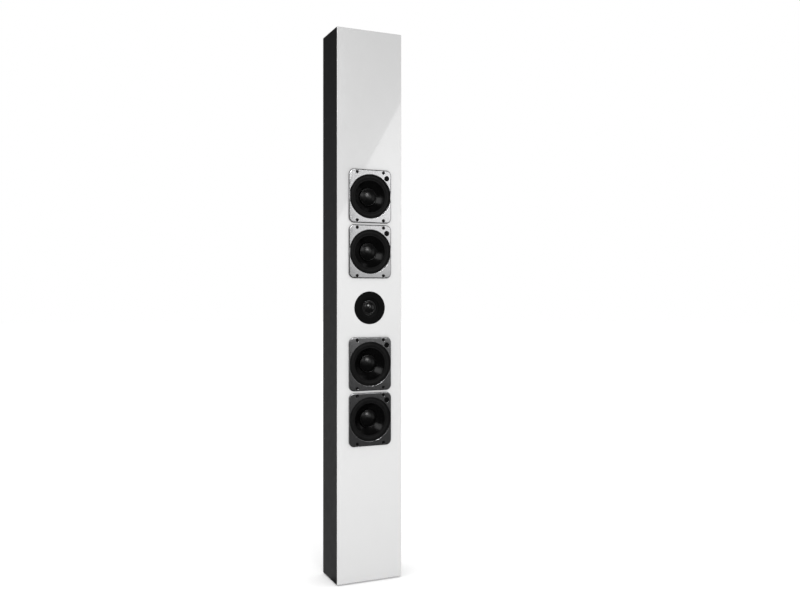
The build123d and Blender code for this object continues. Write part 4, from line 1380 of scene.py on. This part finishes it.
    def cap(self, settings, name):
        """Thumb cap: a plain skirt, then a grip with grooves, and a rounded nose with the socket's mouth."""
        low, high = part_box(f"post_cap_{name}")
        centre = middle(f"post_cap_{name}")
        tip, grip, mouth = high.y - low.y, settings.grip, 2.6 * MM
        skirt, lip, nose, rows, soft = 2.5 * MM, 0.8 * MM, 1.2 * MM, 8, 0.3 * MM
        groove_depth, groove_half, run_in = 0.55 * MM, 0.85 * MM, 0.6 * MM
        first_row, last_row = skirt + 0.5 * MM, tip - nose - 0.1 * MM
        grip_rows = [(grip, first_row + (last_row - first_row) * step / rows) for step in range(rows + 1)]
        profile = softened([
            (POST_BORE_R, 0, soft), (grip, 0, 0.4 * MM), (grip, skirt), *grip_rows, (grip, tip, nose),
            (mouth + 1.2 * MM, tip, soft), (mouth + 0.4 * MM, tip - 0.6 * MM, soft),
            (mouth, tip - lip), (POST_BORE_R, tip - lip),
        ])

        def flute(turn, out):
            if out < skirt or out > tip + NEAR:
                return 0.0
            near = abs(((turn * settings.flutes / math.tau) % 1) - 0.5) * math.tau / settings.flutes * grip
            depth = groove_depth * max(0.0, 1 - (near / groove_half) ** 2)
            return depth * min(1.0, (out - skirt) / run_in)
        bm = bmesh.new()
        add_turned(bm, profile, back_place(Vector((centre.x, low.y, centre.z))), 168, flute=flute)
        finish_piece(
            bm, f"cap_{name}", f"{name}_cap", f"post_{name}", [f"post_cap_{name}"], sharp=50, keep_flat=False,
        )

    def execute(self, context):
        place = back_place(CUP_CENTRE)
        self.cup(place)
        self.screws(place)
        self.studs()
        for name in POSTS:
            self.washer(name)
            self.cap(context.scene.speaker_terminal, name)
        return {"FINISHED"}


class SPEAKER_OT_internals(bpy.types.Operator):
    """Give the pieces inside the cabinet their finishes"""
    bl_idname = "speaker.internals"
    bl_label = "Pieces Inside"

    def execute(self, context):
        for node, piece in frame["nodes"].items():
            if not piece.hide_render:
                dress_node(node)
        return {"FINISHED"}


# Stage

def upright(start, end, low, high):
    """The corners of an upright panel over a line on the floor."""
    return ((*start, low), (*end, low), (*end, high), (*start, high))


FLOOR_R = 18
LAMP_PLACE = (-0.15, -1.0, 0.42)
LAMP_TARGET = (0, 0, 0.42)
LAMP_SIZE = (0.4, 0.4)
TENT_R = 3.4
REAR_TENT_SHARE = 6.5
REAR_TENT_FADES = ((3.0, -0.6),)
LEFT_PANEL_SHARE = 3
LIGHT_PANEL = (
    (0.42, -2.05, 0.3), (1.6, -2.05, 0.3), (1.6, -2.05, 1.9), (1.13, -2.05, 1.9), (0.42, -2.05, 0.62),
)
LIGHT_PANEL_FADES = ((0.32, 1.2), (1.9, 1.6))
SMALL_PANEL = (
    (-0.14, -1.85, 1.28), (0.44, -1.85, 1.28), (0.44, -1.72, 1.84), (-0.14, -1.72, 1.84),
)
SIDE_PANEL = upright((-1.45, -1.0), (-0.75, -1.55), 1.1, 2.3)
RIGHT_PANEL = upright((2.5, -2.3), (2.7, -0.5), 0.1, 2.2)
LEFT_PANEL = upright((-1.7, -2.2), (-0.45, -2.5), 0.1, 1.6)
REAR_PANEL = upright((0.4, 2.1), (1.7, 1.7), 0.1, 1.5)


class SPEAKER_OT_stage(bpy.types.Operator):
    """Set the floor, the light and the camera"""
    bl_idname = "speaker.stage"
    bl_label = "Stage"

    def floor(self):
        bm = bmesh.new()
        outline = circle_outline(1.0, 96)
        ring = [bm.verts.new((FLOOR_R * across, FLOOR_R * up, 0)) for across, up in outline]
        bm.faces.new(ring)
        mesh = bpy.data.meshes.new("floor")
        bm.to_mesh(mesh)
        bm.free()
        mesh.materials.append(stage_white("pale floor", brightness=0.86, glow=0.22))
        floor = bpy.data.objects.new("floor", mesh)
        bpy.context.scene.collection.objects.link(floor)

    def lamp(self, name, place, target, size, power):
        """A soft light that leaves no reflection of its own."""
        light = bpy.data.lights.new(name, "AREA")
        light.shape = "RECTANGLE"
        light.size, light.size_y = size
        light.energy = power
        lamp = bpy.data.objects.new(name, light)
        lamp.location = place
        lamp.rotation_mode = "QUATERNION"
        lamp.rotation_quaternion = (Vector(target) - Vector(place)).to_track_quat("-Z", "Y")
        lamp.visible_glossy = False
        lamp.visible_camera = False
        bpy.context.scene.collection.objects.link(lamp)

    def sheet(self, name, corners, glow, fades=()):
        """A flat panel given by its corners, which only shows in reflections."""
        bm = bmesh.new()
        bm.faces.new([bm.verts.new(corner) for corner in corners])
        self.reflected(bm, name, reflected_light(name, glow, fades))

    def reflected(self, bm, name, material):
        mesh = bpy.data.meshes.new(name)
        bm.to_mesh(mesh)
        bm.free()
        mesh.materials.append(material)
        panel = bpy.data.objects.new(name, mesh)
        bpy.context.scene.collection.objects.link(panel)
        for ray in ("camera", "diffuse", "shadow", "transmission"):
            setattr(panel, f"visible_{ray}", False)

    def tent(self, name, glow, start, fades=()):
        """Dark half dome and floor cloth round one side of the speaker, as its glossy pieces see them."""
        rows, columns = 12, 24
        bm = bmesh.new()
        grid = []
        for row in range(rows + 1):
            rise = math.pi / 2 * row / rows
            line = []
            for column in range(columns + 1):
                turn = start + math.pi * column / columns
                reach = TENT_R * math.cos(rise)
                height = TENT_R * math.sin(rise) + 3 * MM
                spot = (reach * math.cos(turn), reach * math.sin(turn), height)
                line.append(bm.verts.new(spot))
            grid.append(line)
        for lower, upper in zip(grid, grid[1:]):
            for column in range(columns):
                bm.faces.new((lower[column], lower[column + 1], upper[column + 1], upper[column]))
        bm.faces.new(grid[0])
        self.reflected(bm, name, reflected_light(name, glow, fades))

    def world(self, strength):
        world = bpy.data.worlds.new("studio")
        world.use_nodes = True
        backdrop = world.node_tree.nodes["Background"]
        backdrop.inputs["Color"].default_value = (1, 1, 1, 1)
        backdrop.inputs["Strength"].default_value = strength
        bpy.context.scene.world = world
        world.cycles_visibility.glossy = False

    def camera(self, settings):
        data = bpy.data.cameras.new("camera")
        data.lens = settings.lens
        data.sensor_width = 36
        data.shift_y = settings.shift
        camera = bpy.data.objects.new("camera", data)
        camera.location = settings.camera_place
        camera.rotation_euler = (math.pi / 2, 0, -settings.camera_turn)
        bpy.context.scene.collection.objects.link(camera)
        bpy.context.scene.camera = camera

    def execute(self, context):
        settings = context.scene.speaker_stage
        context.scene.view_settings.view_transform = "Standard"
        self.floor()
        self.world(settings.world_light)
        self.lamp("body light", LAMP_PLACE, LAMP_TARGET, LAMP_SIZE, settings.body_light)
        self.tent("front tent", settings.tent_glow, math.pi)
        self.tent("rear tent", settings.tent_glow * REAR_TENT_SHARE, 0, REAR_TENT_FADES)
        self.sheet("light panel", LIGHT_PANEL, settings.panel_glow, LIGHT_PANEL_FADES)
        self.sheet("small panel", SMALL_PANEL, settings.spot_glow)
        self.sheet("side panel", SIDE_PANEL, settings.side_glow)
        self.sheet("right panel", RIGHT_PANEL, settings.fill_glow)
        self.sheet("left panel", LEFT_PANEL, settings.fill_glow / LEFT_PANEL_SHARE)
        self.sheet("rear panel", REAR_PANEL, settings.rear_glow)
        self.camera(settings)
        return {"FINISHED"}


class SPEAKER_PT_panel(bpy.types.Panel):
    """Lists the steps that build the loudspeaker"""
    bl_label = "Loudspeaker"
    bl_idname = "SPEAKER_PT_panel"
    bl_space_type = "VIEW_3D"
    bl_region_type = "UI"
    bl_category = "Speaker"

    def draw(self, context):
        for operator in STEPS:
            self.layout.operator(operator.bl_idname)
        for group in SETTINGS:
            settings = getattr(context.scene, group)
            box = self.layout.box()
            for name in settings.__annotations__:
                box.prop(settings, name)


STEPS = (
    SPEAKER_OT_fascia, SPEAKER_OT_boards, SPEAKER_OT_feet, SPEAKER_OT_frames, SPEAKER_OT_surrounds,
    SPEAKER_OT_spiders, SPEAKER_OT_cones, SPEAKER_OT_screws, SPEAKER_OT_tweeter, SPEAKER_OT_terminals,
    SPEAKER_OT_internals, SPEAKER_OT_stage,
)
SETTINGS = {
    "speaker_cabinet": SpeakerCabinetSettings,
    "speaker_woofer": SpeakerWooferSettings,
    "speaker_tweeter": SpeakerTweeterSettings,
    "speaker_terminal": SpeakerTerminalSettings,
    "speaker_stage": SpeakerStageSettings,
}


def register():
    for group in (*SETTINGS.values(), *STEPS, SPEAKER_PT_panel):
        bpy.utils.register_class(group)
    for name, group in SETTINGS.items():
        setattr(bpy.types.Scene, name, PointerProperty(type=group))


def unregister():
    for name in SETTINGS:
        delattr(bpy.types.Scene, name)
    for group in reversed((*SETTINGS.values(), *STEPS, SPEAKER_PT_panel)):
        bpy.utils.unregister_class(group)


def main():
    register()
    for operator in STEPS:
        group, name = operator.bl_idname.split(".")
        getattr(getattr(bpy.ops, group), name)()


if __name__ == "__main__":
    main()
